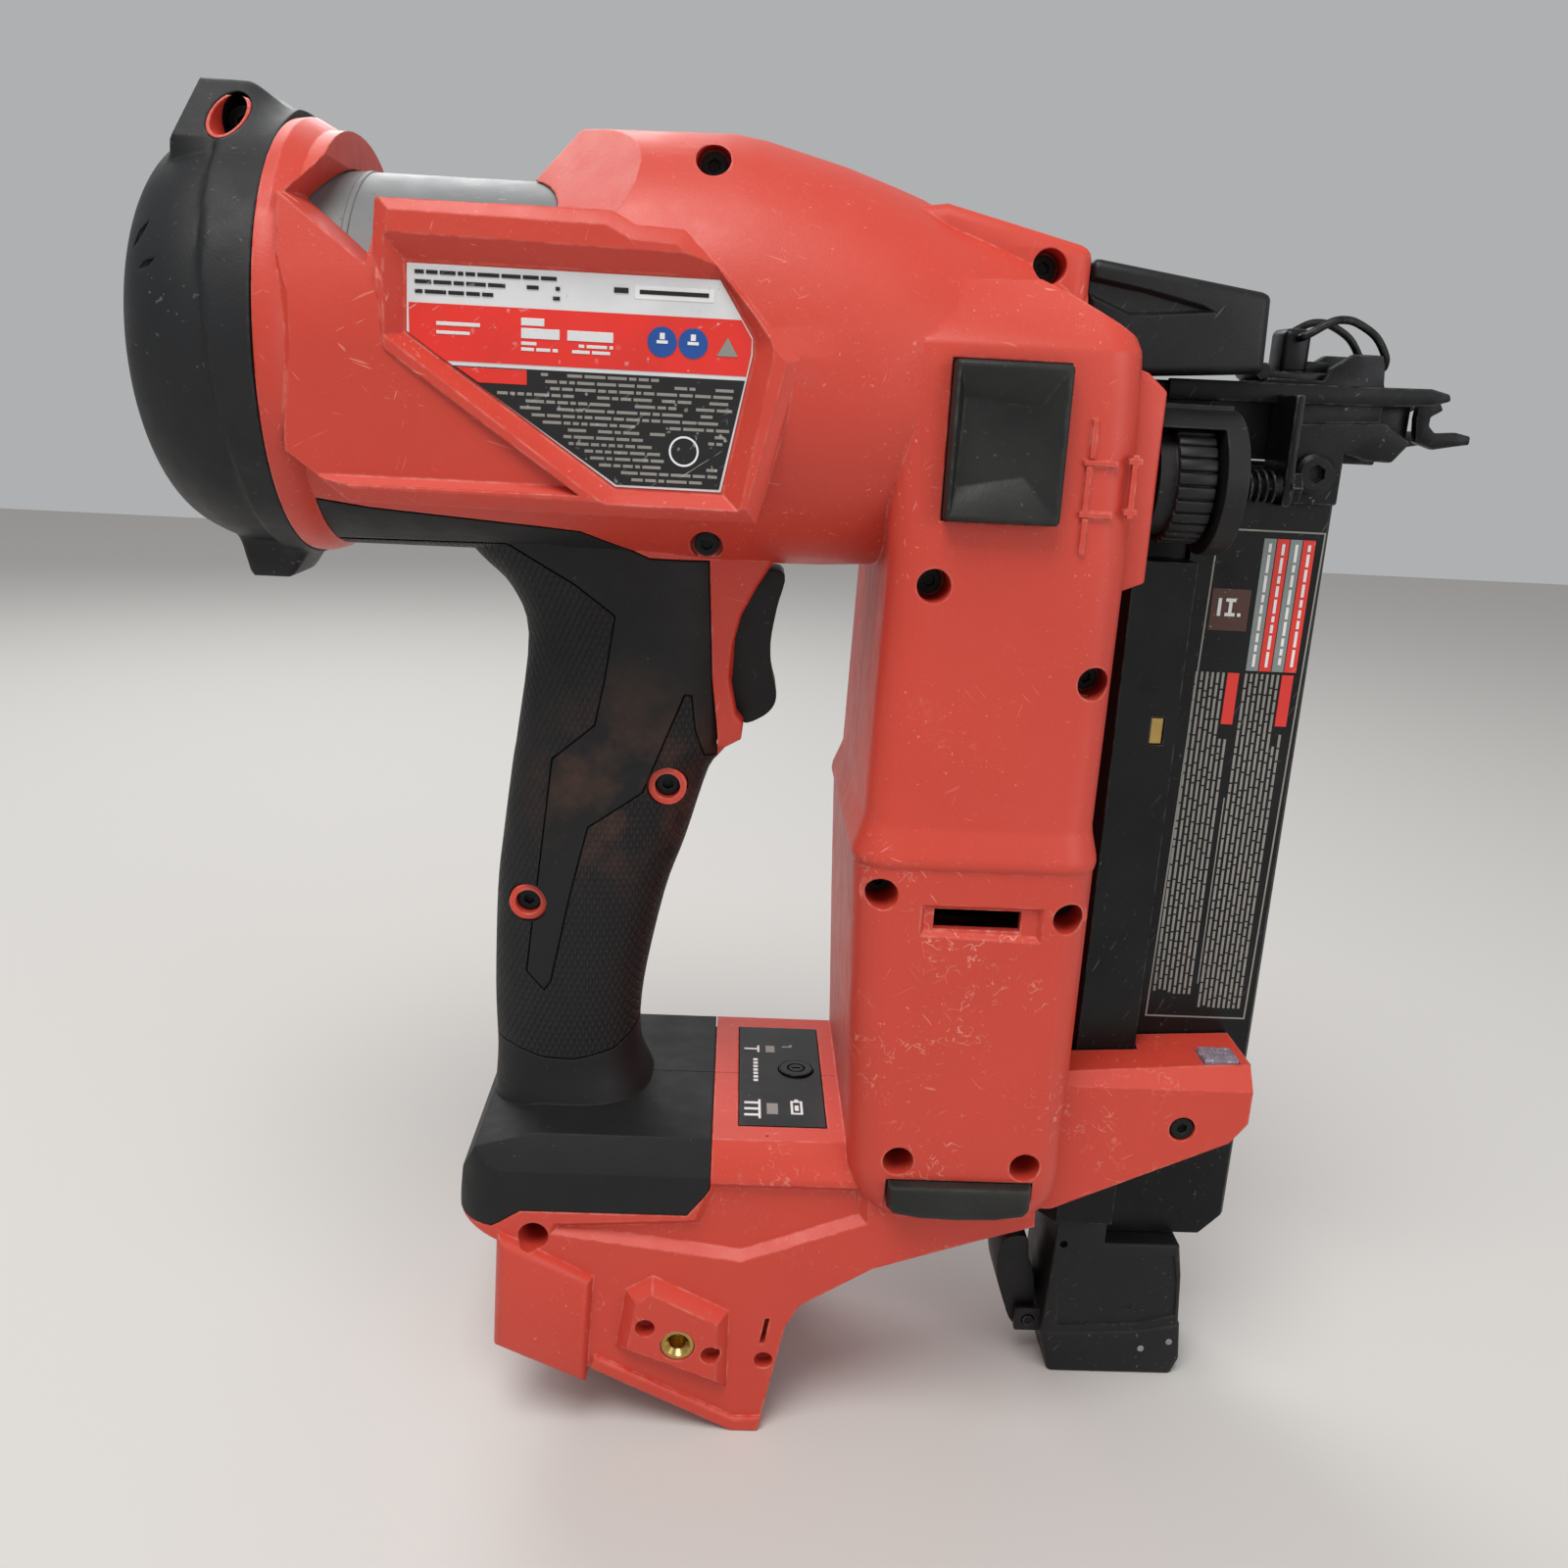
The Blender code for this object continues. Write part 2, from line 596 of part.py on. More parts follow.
def grip_full():
    outer = union(barrel(), handle(), foot())
    area = plate("grip_area", GRIP_AREA, -0.060, 0.060)
    core = union(barrel(SKIN), handle(SKIN), foot(SKIN))
    return cut(keep(outer, area), core)


def housing_full():
    outer = union(barrel(), hood(), label_panel(), handle(), foot(), column(), *arm(),
                  *hook_pads())
    area = plate("grip_area", grown(GRIP_AREA, GAP), -0.060, 0.060)
    room = cut(area, barrel(SKIN + GAP), handle(SKIN + GAP), foot(SKIN + GAP))
    shell = cut(outer, room, plate("tank_window", TANK_WINDOW, -0.060, 0.060))
    hollow = cut(shell, *housing_cavities(), handle_space(), *battery_cavity(),
                 *bumper_pockets(), *hook_insert_bores())
    return cut(union(hollow, *screw_posts()), *pilot_bores())


def half(full, name, side):
    """The part of a full shape on one side of the parting plane."""
    room = box("room", (-0.2, -0.1, -0.1), (0.2, -GAP / 2, 0.4)) if side < 0 else box(
        "room", (-0.2, GAP / 2, -0.1), (0.2, 0.1, 0.4))
    return keep(copy_of(full, name), room)


def build_housing(red, rubber):
    full = housing_full()
    arm_x, arm_z = ARM_SCREW
    lens_low, lens_high = LENS
    pocket = box("lens_pocket", Vector(lens_low) - Vector((GAP, GAP, GAP)),
                 Vector(lens_high) + Vector((GAP, GAP, 0.004)))
    arm_bores = (rod("arm_bore", (arm_x, -0.032, arm_z), (arm_x, -0.027, arm_z), 0.0032, 14),
                 rod("arm_pilot", (arm_x, -0.028, arm_z), (arm_x, -0.0145, arm_z),
                     SCREW_R + GAP, 8))
    left = cut(half(full, "left_housing", -1), *head_bores(), *arm_bores, pocket)
    finish(left, "left_housing", red)
    finish(half(full, "right_housing", 1), "right_housing", red)
    bpy.data.objects.remove(full, do_unlink=True)
    grip = grip_full()
    rings = [rod("ring", (x, -0.030, z), (x, -0.005, z), POST_R + GAP, 16)
             for name, x, z, _ in SCREWS if name.startswith("grip")]
    finish(cut(half(grip, "left_grip", -1), *rings), "left_grip", rubber)
    finish(half(grip, "right_grip", 1), "right_grip", rubber)
    bpy.data.objects.remove(grip, do_unlink=True)


# ---------------------------------------------------------------- barrel and drive
def gear_outline(centre, root_r, tip_r, teeth):
    """Tooth outline about a centre, four points to a tooth."""
    points = []
    for tooth in range(teeth):
        for share, radius in ((0.0, root_r), (0.25, tip_r), (0.55, tip_r), (0.8, root_r)):
            turn = 2 * math.pi * (tooth + share) / teeth
            points.append((centre[0] + radius * math.cos(turn),
                           centre[1] + radius * math.sin(turn)))
    return points


def build_rear_cap(plastic):
    """Sculpted end cap, a turned cup with an ear above and one below."""
    profile = ((0.0, CAP_REAR_X), (0.020, CAP_REAR_X + 0.0010), (0.032, CAP_REAR_X + 0.0045),
               (0.0405, CAP_REAR_X + 0.0110), (0.0450, CAP_REAR_X + 0.0200),
               (CAP_R, CAP_REAR_X + 0.0280), (CAP_R, CAP_FRONT_X), (0.0425, CAP_FRONT_X),
               (0.0425, -0.1240), (0.0375, -0.1310), (0.0, -0.1325))
    cap = turned("rear_cap", profile, (0.0, AXIS_Z), 40)
    top_ear = ((-0.1345, 0.2940), (-0.1335, 0.3040), (-0.1310, 0.3070), (-0.1195, 0.3070),
               (-0.1165, 0.3040), (-0.1165, 0.2990))
    low_ear = ((-0.1300, 0.2140), (-0.1285, 0.2065), (-0.1265, 0.2040), (-0.1185, 0.2040),
               (-0.1165, 0.2060), (-0.1165, 0.2120))
    ears = [plate("ear", outline, -0.0090, 0.0090, bevel=0.0015, segments=1)
            for outline in (top_ear, low_ear)]
    hole = rod("ear_hole", (-0.1245, -0.012, 0.3005), (-0.1245, 0.012, 0.3005), 0.0024, 14)
    finish(cut(union(cap, *ears), hole), "rear_cap", plastic)


def build_tank(grey, steel):
    """Gas tank that shows behind the housing, and the drive cylinder inside it."""
    tank = rod("tank", (-0.1290, 0, AXIS_Z), (0.0027, 0, AXIS_Z), TANK_R, 36)
    space = rod("space", (-0.1265, 0, AXIS_Z), (-0.0003, 0, AXIS_Z), TANK_R - 0.0025, 36)
    mouth = rod("mouth", (-0.0020, 0, DRIVE_Z), (0.0100, 0, DRIVE_Z), CYLINDER_R + GAP, 24)
    finish(cut(tank, space, mouth), "pressure_tank", grey)
    barrel_tube = rod("cylinder", (-0.1000, 0, DRIVE_Z), (0.0027, 0, DRIVE_Z), CYLINDER_R, 24)
    bore = rod("bore", (-0.1100, 0, DRIVE_Z), (0.0100, 0, DRIVE_Z), PISTON_R + GAP, 24)
    finish(cut(barrel_tube, bore), "drive_cylinder", steel)


def build_driver(steel, rubber):
    """Piston with its toothed blade, at the end of its stroke on the bumper."""
    piston = rod("piston", (-0.0133, 0, DRIVE_Z), (-0.0053, 0, DRIVE_Z), PISTON_R, 24)
    groove = cut(rod("groove", (-0.0105, 0, DRIVE_Z), (-0.0085, 0, DRIVE_Z), 0.0150, 24),
                 rod("groove_floor", (-0.0120, 0, DRIVE_Z), (-0.0070, 0, DRIVE_Z), 0.0120, 24))
    blade = box("blade", (-0.0060, -BLADE_HALF_Y, DRIVE_Z - BLADE_HALF_Z),
                (BLADE_TIP_X, BLADE_HALF_Y, DRIVE_Z + BLADE_HALF_Z))
    teeth = []
    for index in range(BLADE_TEETH):
        x = BLADE_FIRST_TOOTH_X + BLADE_PITCH * index
        teeth.append(box("tooth", (x, BLADE_HALF_Y - 0.001, DRIVE_Z - BLADE_HALF_Z),
                         (x + 0.0025, 0.0055, DRIVE_Z + BLADE_HALF_Z)))
    finish(union(cut(piston, groove), blade, *teeth), "driver", steel,
           (-0.0053, 0, DRIVE_Z))
    ring = rod("ring", (-0.0050, 0, DRIVE_Z), (0.0030, 0, DRIVE_Z), PISTON_R - GAP, 20)
    hole = rod("hole", (-0.0060, 0, DRIVE_Z), (0.0040, 0, DRIVE_Z), 0.0065, 20)
    finish(cut(ring, hole), "piston_bumper", rubber)


def build_drive_frame(alloy):
    """Casting that ties the cylinder, the lifter and the nose together."""
    rear = box("rear_flange", (0.0035, -0.026, 0.2310), (0.0070, 0.026, 0.2700))
    base = box("base", (0.0060, -0.012, 0.2385), (0.0490, 0.027, 0.2425))
    front = box("front_flange", (0.0465, -0.012, 0.2400), (0.0500, 0.0095, 0.2620))
    frame = union(rear, base, front)
    tools = (rod("blade_hole", (0.0, 0, DRIVE_Z), (0.010, 0, DRIVE_Z), 0.0070, 20),
             rod("shaft_hole", (COLUMN_X, LIFTER_Y, 0.230), (COLUMN_X, LIFTER_Y, 0.250),
                 0.0046, 16),
             box("blade_slot", (0.045, -0.0036, 0.2495), (0.052, 0.0062, 0.2535)))
    finish(cut(frame, *tools), "drive_frame", alloy)


def build_lifter(steel):
    """Lifter wheel, its shaft and the gear that turns it."""
    centre = (COLUMN_X, LIFTER_Y)
    shaft = rod("shaft", (*centre, 0.1680), (*centre, 0.2590), 0.0040, 10)
    parts = [rod("disc", (*centre, low), (*centre, low + 0.003), 0.0095, 16)
             for low in (0.2440, 0.2560)]
    for index in range(5):
        turn = math.radians(200 + 50 * index)
        x, y = centre[0] + 0.0078 * math.cos(turn), centre[1] + 0.0078 * math.sin(turn)
        parts.append(rod("pin", (x, y, 0.2465), (x, y, 0.2565), 0.0015, 6))
    teeth = gear_outline(centre, LIFTER_GEAR_R - 0.0012, LIFTER_GEAR_R, LIFTER_TEETH)
    gear = plate("gear", teeth, GEAR_LOW_Z, GEAR_HIGH_Z, axis="Z")
    finish(union(shaft, gear, *parts), "lifter_wheel", steel, (*centre, 0.2440))


def build_motor(steel, copper, alloy, board):
    """Brushless motor, gearbox case and control board, inside the column."""
    here = (COLUMN_X, 0.0)
    ring = rod("ring", (*here, MOTOR_LOW_Z), (*here, MOTOR_HIGH_Z), MOTOR_R, 28)
    hole = rod("hole", (*here, MOTOR_LOW_Z - 0.01), (*here, MOTOR_HIGH_Z + 0.01), 0.0138, 28)
    finish(cut(ring, hole), "motor_stator", copper)
    shaft = rod("shaft", (*here, 0.0760), (*here, 0.1810), 0.0023, 12)
    core = rod("core", (*here, MOTOR_LOW_Z + 0.004), (*here, MOTOR_HIGH_Z - 0.004), 0.0134, 24)
    fan = rod("fan", (*here, 0.1340), (*here, 0.1360), 0.0160, 24)
    blades = []
    for index in range(6):
        blade = box("fan_blade", (COLUMN_X + 0.004, -0.0004, 0.1355),
                    (COLUMN_X + 0.0150, 0.0004, 0.1410))
        blade.data.transform(Matrix.Translation((COLUMN_X, 0, 0))
                             @ Matrix.Rotation(math.radians(60 * index), 4, "Z")
                             @ Matrix.Translation((-COLUMN_X, 0, 0)))
        blades.append(blade)
    teeth = gear_outline(here, PINION_R - 0.0008, PINION_R, PINION_TEETH)
    pinion = plate("pinion", teeth, GEAR_LOW_Z, GEAR_HIGH_Z, axis="Z")
    finish(union(shaft, core, fan, pinion, *blades), "motor_rotor", steel,
           (*here, MOTOR_LOW_Z))
    case = box("case", (0.0200, -0.0070, 0.1510), (0.0541, 0.0310, 0.1880), 0.002, 1)
    space = box("space", (0.0220, -0.0050, 0.1400), (0.0521, 0.0290, 0.1855))
    top_hole = rod("hole", (COLUMN_X, LIFTER_Y, 0.180), (COLUMN_X, LIFTER_Y, 0.200), 0.0044, 16)
    finish(cut(case, space, top_hole), "gearbox_case", alloy)
    panel = box("board", (0.0255, -0.028, 0.0662), (0.0565, 0.028, 0.0682))
    sink = box("sink", (0.0290, -0.014, 0.0680), (0.0510, 0.014, 0.0730))
    finish(union(panel, sink), "control_board", board)


# ---------------------------------------------------------------- nose
def build_nose(black_plastic, steel, bright):
    """Fixed nose with the drive channel, its cover and its screw."""
    outline = ((0.0546 + GAP, 0.2814), (0.0947, 0.2761), (0.0952, 0.2595), (0.0700, 0.2579),
               (0.0549, 0.2579))
    cover = plate("cover", outline, -0.0170, 0.0170, bevel=0.0018, segments=1)
    inside = box("inside", (0.0500, -0.0140, 0.2500), (0.0915, 0.0140, 0.2725))
    finish(cut(cover, inside), "nose_cover", black_plastic)
    body = box("body", (0.0503, -0.0090, 0.2412), (0.1260, 0.0090, 0.2574))
    tip = box("tip", (0.1240, -0.0052, 0.2455), (0.1342, 0.0052, 0.2555))
    lug = box("lug", (0.1050, -0.0118, 0.2320), (0.1175, -0.0086, 0.2450))
    ear = ((0.1170, 0.2560), (0.1170, 0.2590), (0.1200, 0.2635), (0.1243, 0.2635),
           (0.1243, 0.2560))
    ears = [plate("ear", ear, *sorted((side * 0.0060, side * 0.0090))) for side in (-1, 1)]
    solid = union(body, tip, lug, *ears)
    channel = box("channel", (0.0400, -0.0034, DRIVE_Z - 0.0012),
                  (0.1500, 0.0034, DRIVE_Z + 0.0012))
    teeth_room = box("teeth_room", (0.0400, 0.0, DRIVE_Z - 0.0013),
                     (0.0960, 0.0060, DRIVE_Z + 0.0013))
    track = box("track", (0.0690, -TRACK_HALF, 0.2300), (0.1190, TRACK_HALF, DRIVE_Z))
    x, z = NOSE_SCREW
    bore = rod("bore", (x, -0.0200, z), (x, -0.0080, z), 0.0022, 10)
    finish(cut(solid, channel, teeth_room, track, bore), "nose_body", steel)
    screw = union(rod("head", (x, -0.0140, z), (x, -0.0121, z), 0.0046, 20),
                  rod("shank", (x, -0.0125, z), (x, -0.0090, z), 0.0018, 10))
    finish(cut(screw, hex_socket(x, z, -0.0145, -0.0128)), "nose_screw", bright)


def hex_socket(x, z, start, end):
    return rod("socket", (x, start, z), (x, end, z), 0.0014, 6)


def build_jam_door(steel):
    """Door over the drive channel with the wire latch that holds it shut."""
    x, z = DOOR_PIVOT
    leaf = box("leaf", (x, -0.0085, 0.2578), (0.1160, 0.0085, 0.2606))
    knuckle = rod("knuckle", (x, -0.0085, z), (x, 0.0085, z), 0.0019, 14)
    boss = box("boss", (0.1030, -0.0050, 0.2600), (0.1090, 0.0050, 0.2700), 0.001, 1)
    finish(union(leaf, knuckle, boss), "jam_door", steel, (x, 0, z))
    x, z = LATCH_PIVOT
    side = ((x, 0.0053, z), (x, 0.0069, z), (x + 0.0012, 0.0071, z + 0.0006),
            (x + 0.0060, 0.0071, z + 0.0036), (x + 0.0115, 0.0071, z + 0.0036),
            (x + 0.0165, 0.0071, z + 0.0010), (x + 0.0194, 0.0069, z - 0.0030),
            (x + 0.0199, 0.0060, z - 0.0052), (x + 0.0199, 0.0045, z - 0.0056))
    points = list(side) + [(px, -py, pz) for px, py, pz in reversed(side)]
    finish(wire("latch_wire", points, 0.0009), "latch_wire", steel, (x, 0, z))


def build_work_contact(steel, black_plastic, bright):
    """Sliding contact that the nose is pressed down on, with its depth setting."""
    bar = box("bar", (0.0760, -0.0122, 0.2530), (0.1430, -0.0094, 0.2580))
    bridge = box("bridge", (0.1346, -0.0122, 0.2559), (0.1430, 0.0086, 0.2600))
    prong = ((0.1346, 0.2565), (0.1430, 0.2565), (0.1440, 0.2535), (0.1475, 0.2500),
             (0.1475, 0.2460), (0.1440, 0.2460), (0.1405, 0.2495), (0.1346, 0.2505))
    prongs = [plate("prong", prong, *sorted((side * 0.0055, side * 0.0086)))
              for side in (-1, 1)]
    arm_plate = box("arm_plate", (0.1000, -0.0245, 0.2300), (0.1030, -0.0094, 0.2560))
    stem = rod("stem", (0.0720, DEPTH_Y, DEPTH_Z), (0.1010, DEPTH_Y, DEPTH_Z), 0.0022, 12)
    contact = union(bar, bridge, arm_plate, stem, *prongs)
    finish(contact, "work_contact", steel, (0.1475, 0, DRIVE_Z))
    spring = coil("contact_spring", (0.0887, DEPTH_Y, DEPTH_Z), (1, 0, 0), 0.0103, 0.0032,
                  0.00045, 4)
    finish(spring, "contact_spring", bright)
    wheel = plate("wheel", gear_outline((DEPTH_Y, DEPTH_Z), 0.0126, 0.0133, 18),
                  0.0740, 0.0820, axis="X")
    hole = rod("hole", (0.070, DEPTH_Y, DEPTH_Z), (0.090, DEPTH_Y, DEPTH_Z), 0.0026, 14)
    finish(cut(wheel, hole), "depth_wheel", black_plastic, (0.0740, DEPTH_Y, DEPTH_Z))
    guard = plate("guard", ((-0.0094, 0.2524), (-0.0094, 0.2265), (-0.0180, 0.2215),
                            (-0.0290, 0.2235), (-0.0345, 0.2305), (-0.0345, 0.2425),
                            (-0.0260, 0.2515)), 0.0835, 0.0872, axis="X", bevel=0.0008,
                  segments=1)
    hole = rod("hole", (0.080, DEPTH_Y, DEPTH_Z), (0.100, DEPTH_Y, DEPTH_Z), 0.0026, 14)
    finish(cut(guard, hole), "depth_guard", black_plastic)


# ---------------------------------------------------------------- magazine
def build_magazine(black, steel, brass):
    """Fixed rail and the cover that slides down it to open the nail track."""
    rear, front = RAIL_X
    wide = ((rear, -0.0100), (rear + 0.0045, -RAIL_HALF), (front, -RAIL_HALF),
            (front, RAIL_HALF), (rear + 0.0045, RAIL_HALF), (rear, 0.0100))
    rail = union(plate("wide", wide, 0.0473, 0.2180, axis="Z"),
                 box("narrow", (rear + 0.001, -0.0064, 0.2170), (front, 0.0064, 0.2409)))
    slot = box("slot", (0.0700, -TRACK_HALF, 0.0300), (0.0900, TRACK_HALF, 0.2500))
    pocket = box("pocket", (0.0725, -0.0044, 0.0300), (0.0835, 0.0044, 0.2500))
    window = box("window", (0.0800, -0.0200, 0.1755), (0.0832, -0.0150, 0.1820))
    finish(cut(rail, slot, pocket, window), "magazine_rail", black)
    finish(box("pane", (0.0802, -0.0160, 0.1757), (0.0830, -0.0152, 0.1818)), "nail_window",
           brass)
    low, high = SLIDE_X
    outline = ((low, MAG_LOW_Z), (0.1135, MAG_LOW_Z), (high, 0.0454), (high, MAG_TOP_Z),
               (low, MAG_TOP_Z))
    cover = plate("cover", outline, -SLIDE_HALF, SLIDE_HALF, bevel=0.0008, segments=1)
    slot = box("slot", (0.0800, -TRACK_HALF, 0.0300), (0.1165, TRACK_HALF, 0.2500))
    finish(cut(cover, slot), "magazine_slide", black, (low, 0, MAG_LOW_Z))


def build_end_cap(black_plastic, steel):
    """Foot of the sliding cover, with the thumb lever that releases it."""
    outline = ((0.0719, 0.0120), (0.0748, 0.0000), (0.1083, 0.0000), (0.1103, 0.0050),
               (0.1090, 0.0147), (0.1064, 0.0397), (0.0730, 0.0397))
    block = plate("block", outline, -0.0140, 0.0140, bevel=0.001, segments=1)
    step = box("step", (0.0730, -0.0140, 0.0380), (0.0862, 0.0140, 0.0468))
    x, z = LEVER_PIVOT
    lugs = [box("lug", (x - 0.0035, inner, z - 0.0035), (x + 0.0060, outer, z + 0.0035))
            for inner, outer in ((-0.0100, -0.0074), (0.0074, 0.0100))]
    bore = rod("bore", (x, -0.0150, z), (x, 0.0150, z), PIN_R + GAP, 12)
    finish(cut(union(block, step, *lugs), bore), "magazine_end_cap", black_plastic)
    lever = ((0.0610, 0.0340), (0.0613, 0.0235), (x - 0.0028, z - 0.0030),
             (x + 0.0012, z - 0.0030), (x + 0.0014, z + 0.0030), (0.0668, 0.0240),
             (0.0655, 0.0360))
    solid = plate("lever", lever, -0.0070, 0.0070)
    bore = rod("bore", (x, -0.0150, z), (x, 0.0150, z), PIN_R + GAP, 12)
    finish(cut(solid, bore), "latch_lever", black_plastic, (x, 0, z))
    finish(rod("pin", (x, -0.0104, z), (x, 0.0104, z), PIN_R, 12), "latch_pin", steel)


def build_pusher(steel, bright):
    """Follower that feeds the nails, with its rolled ribbon spring."""
    blade = box("blade", (0.0704, -0.0009, 0.2260), (0.1160, 0.0009, 0.2402))
    body = box("body", (0.0730, -0.0040, 0.2260), (0.0830, 0.0040, 0.2400))
    finish(union(blade, body), "pusher", steel, (0.0780, 0, 0.2402))
    roll = rod("roll", (0.0780, -0.0035, 0.2205), (0.0780, 0.0035, 0.2205), 0.0045, 20)
    hole = rod("hole", (0.0780, -0.0050, 0.2205), (0.0780, 0.0050, 0.2205), 0.0030, 20)
    finish(cut(roll, hole), "pusher_spring", bright)


# ---------------------------------------------------------------- trigger, foot and trim
def build_trigger(plastic, steel, black_plastic, bright):
    x, z = TRIGGER_PIVOT
    solid = plate("trigger", TRIGGER, -0.0065, 0.0065, bevel=0.0012, segments=1)
    bore = rod("bore", (x, -0.0100, z), (x, 0.0100, z), PIN_R + GAP, 12)
    finish(cut(solid, bore), "trigger", plastic, (x, 0, z))
    finish(rod("pin", (x, -0.0095, z), (x, 0.0095, z), PIN_R, 12), "trigger_pin", steel)
    body = box("switch", (-0.0520, -0.0062, 0.1760), (-0.0360, 0.0062, 0.2040), 0.001, 1)
    plunger = rod("plunger", (-0.0365, 0, 0.1930), (-0.0295, 0, 0.1930), 0.0018, 10)
    finish(union(body, plunger), "trigger_switch", black_plastic)
    spring = coil("trigger_spring", (-0.0355, 0, 0.1840), (1, 0, 0), 0.0098, 0.0022,
                  0.0004, 4)
    finish(spring, "trigger_spring", bright)


def build_foot_pieces(black_plastic, black, brass, clear):
    """Key panel, mode button, battery terminals, hook inserts and the lamp lens."""
    panel = box("panel", (-0.0116, -0.0269, 0.0756), (0.0096, 0.0269, 0.0787))
    x, y = BUTTON
    hole = rod("hole", (x, y, 0.0700), (x, y, 0.0850), 0.0048, 20)
    finish(cut(panel, hole), "control_panel", black)
    finish(rod("button", (x, y, 0.0764), (x, y, 0.0792), 0.0045, 20), "mode_button", black,
           (x, y, 0.0792))
    block = sloped("block", (0.0083, 0.0307), (0.0125, 0.0272), 0.0202)
    slots = [sloped("slot", (0.0200, 0.0400), (0.0050, 0.0180), 0.0012) for _ in range(3)]
    for slot, shift in zip(slots, (-0.012, 0.0, 0.012)):
        slot.data.transform(Matrix.Translation((0, shift, 0)))
    finish(cut(block, *slots), "terminal_block", black_plastic)
    hook_x, hook_z = HOOK_POINT
    for side, name in ((-1, "left_hook_insert"), (1, "right_hook_insert")):
        insert = rod("insert", (hook_x, side * 0.0410, hook_z), (hook_x, side * 0.0340, hook_z),
                     INSERT_R, 14)
        thread = rod("thread", (hook_x, side * 0.0450, hook_z), (hook_x, side * 0.0350, hook_z),
                     0.0019, 12)
        finish(cut(insert, thread), name, brass)
    finish(box("lens", LENS[0], LENS[1], 0.0008, 1), "lamp_lens", clear)


def build_bumpers(rubber):
    for side, word in ((-1, "left"), (1, "right")):
        for (low, high, seat), place in ((UPPER_BUMPER, "upper"), (LOWER_BUMPER, "lower")):
            near, far = sorted((side * seat, side * BUMPER_HALF))
            pad = box("pad", (low[0], near, low[1]), (high[0], far, high[1]))
            finish(pad, f"{word}_{place}_bumper", rubber)


def build_screws(steel):
    for name, x, z, seat in SCREWS:
        head = rod("head", (x, -seat - 0.0027, z), (x, -seat - GAP, z), SCREW_HEAD_R, 14)
        shank = rod("shank", (x, -seat - 0.0010, z), (x, SCREW_END_Y, z), SCREW_R, 8)
        screw = cut(union(head, shank), hex_socket(x, z, -seat - 0.0032, -seat - 0.0012))
        finish(screw, f"screw_{name}", steel)
    x, z = ARM_SCREW
    head = rod("head", (x, -0.0296, z), (x, -0.0273, z), SCREW_HEAD_R, 14)
    shank = rod("shank", (x, -0.0280, z), (x, -0.0150, z), SCREW_R, 8)
    finish(cut(union(head, shank), hex_socket(x, z, -0.0300, -0.0283)), "screw_arm", steel)


def main():
    reset_scene()
    red = material("red_plastic", RED, 0.5)
    rubber = material("grip_rubber", RUBBER, 0.75)
    plastic = material("black_plastic", BLACK, 0.5)
    painted = material("black_metal", STEEL, 0.45, 0.6)
    steel = material("dark_steel", STEEL, 0.4, 0.9)
    bright = material("bright_steel", BRIGHT, 0.3, 1.0)
    alloy = material("cast_alloy", GREY, 0.5, 0.8)
    grey = material("tank_grey", GREY, 0.35, 0.3)
    brass = material("brass", BRASS, 0.3, 1.0)
    copper = material("motor_winding", BRASS, 0.4, 0.6)
    board = material("circuit_board", (0.02, 0.12, 0.05), 0.5)
    clear = material("clear_lens", (0.6, 0.58, 0.65), 0.1)
    build_housing(red, rubber)
    build_rear_cap(plastic)
    build_tank(grey, bright)
    build_driver(steel, rubber)
    build_drive_frame(alloy)
    build_lifter(bright)
    build_motor(bright, copper, alloy, board)
    build_nose(plastic, steel, painted)
    build_jam_door(steel)
    build_work_contact(steel, plastic, bright)
    build_magazine(painted, steel, brass)
    build_end_cap(plastic, bright)
    build_pusher(bright, bright)
    build_trigger(plastic, bright, plastic, bright)
    build_foot_pieces(plastic, plastic, brass, clear)
    build_bumpers(rubber)
    build_screws(painted)


main()
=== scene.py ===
"""Looks of the cordless brad nailer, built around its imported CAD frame.

Lengths are in metres, and tables given to mm() are in millimetres.  +X is the driving
direction, +Z is up and the left-hand side faces -Y.
"""
import json
import math
import random

import bmesh
import bpy
from mathutils import Matrix, Vector


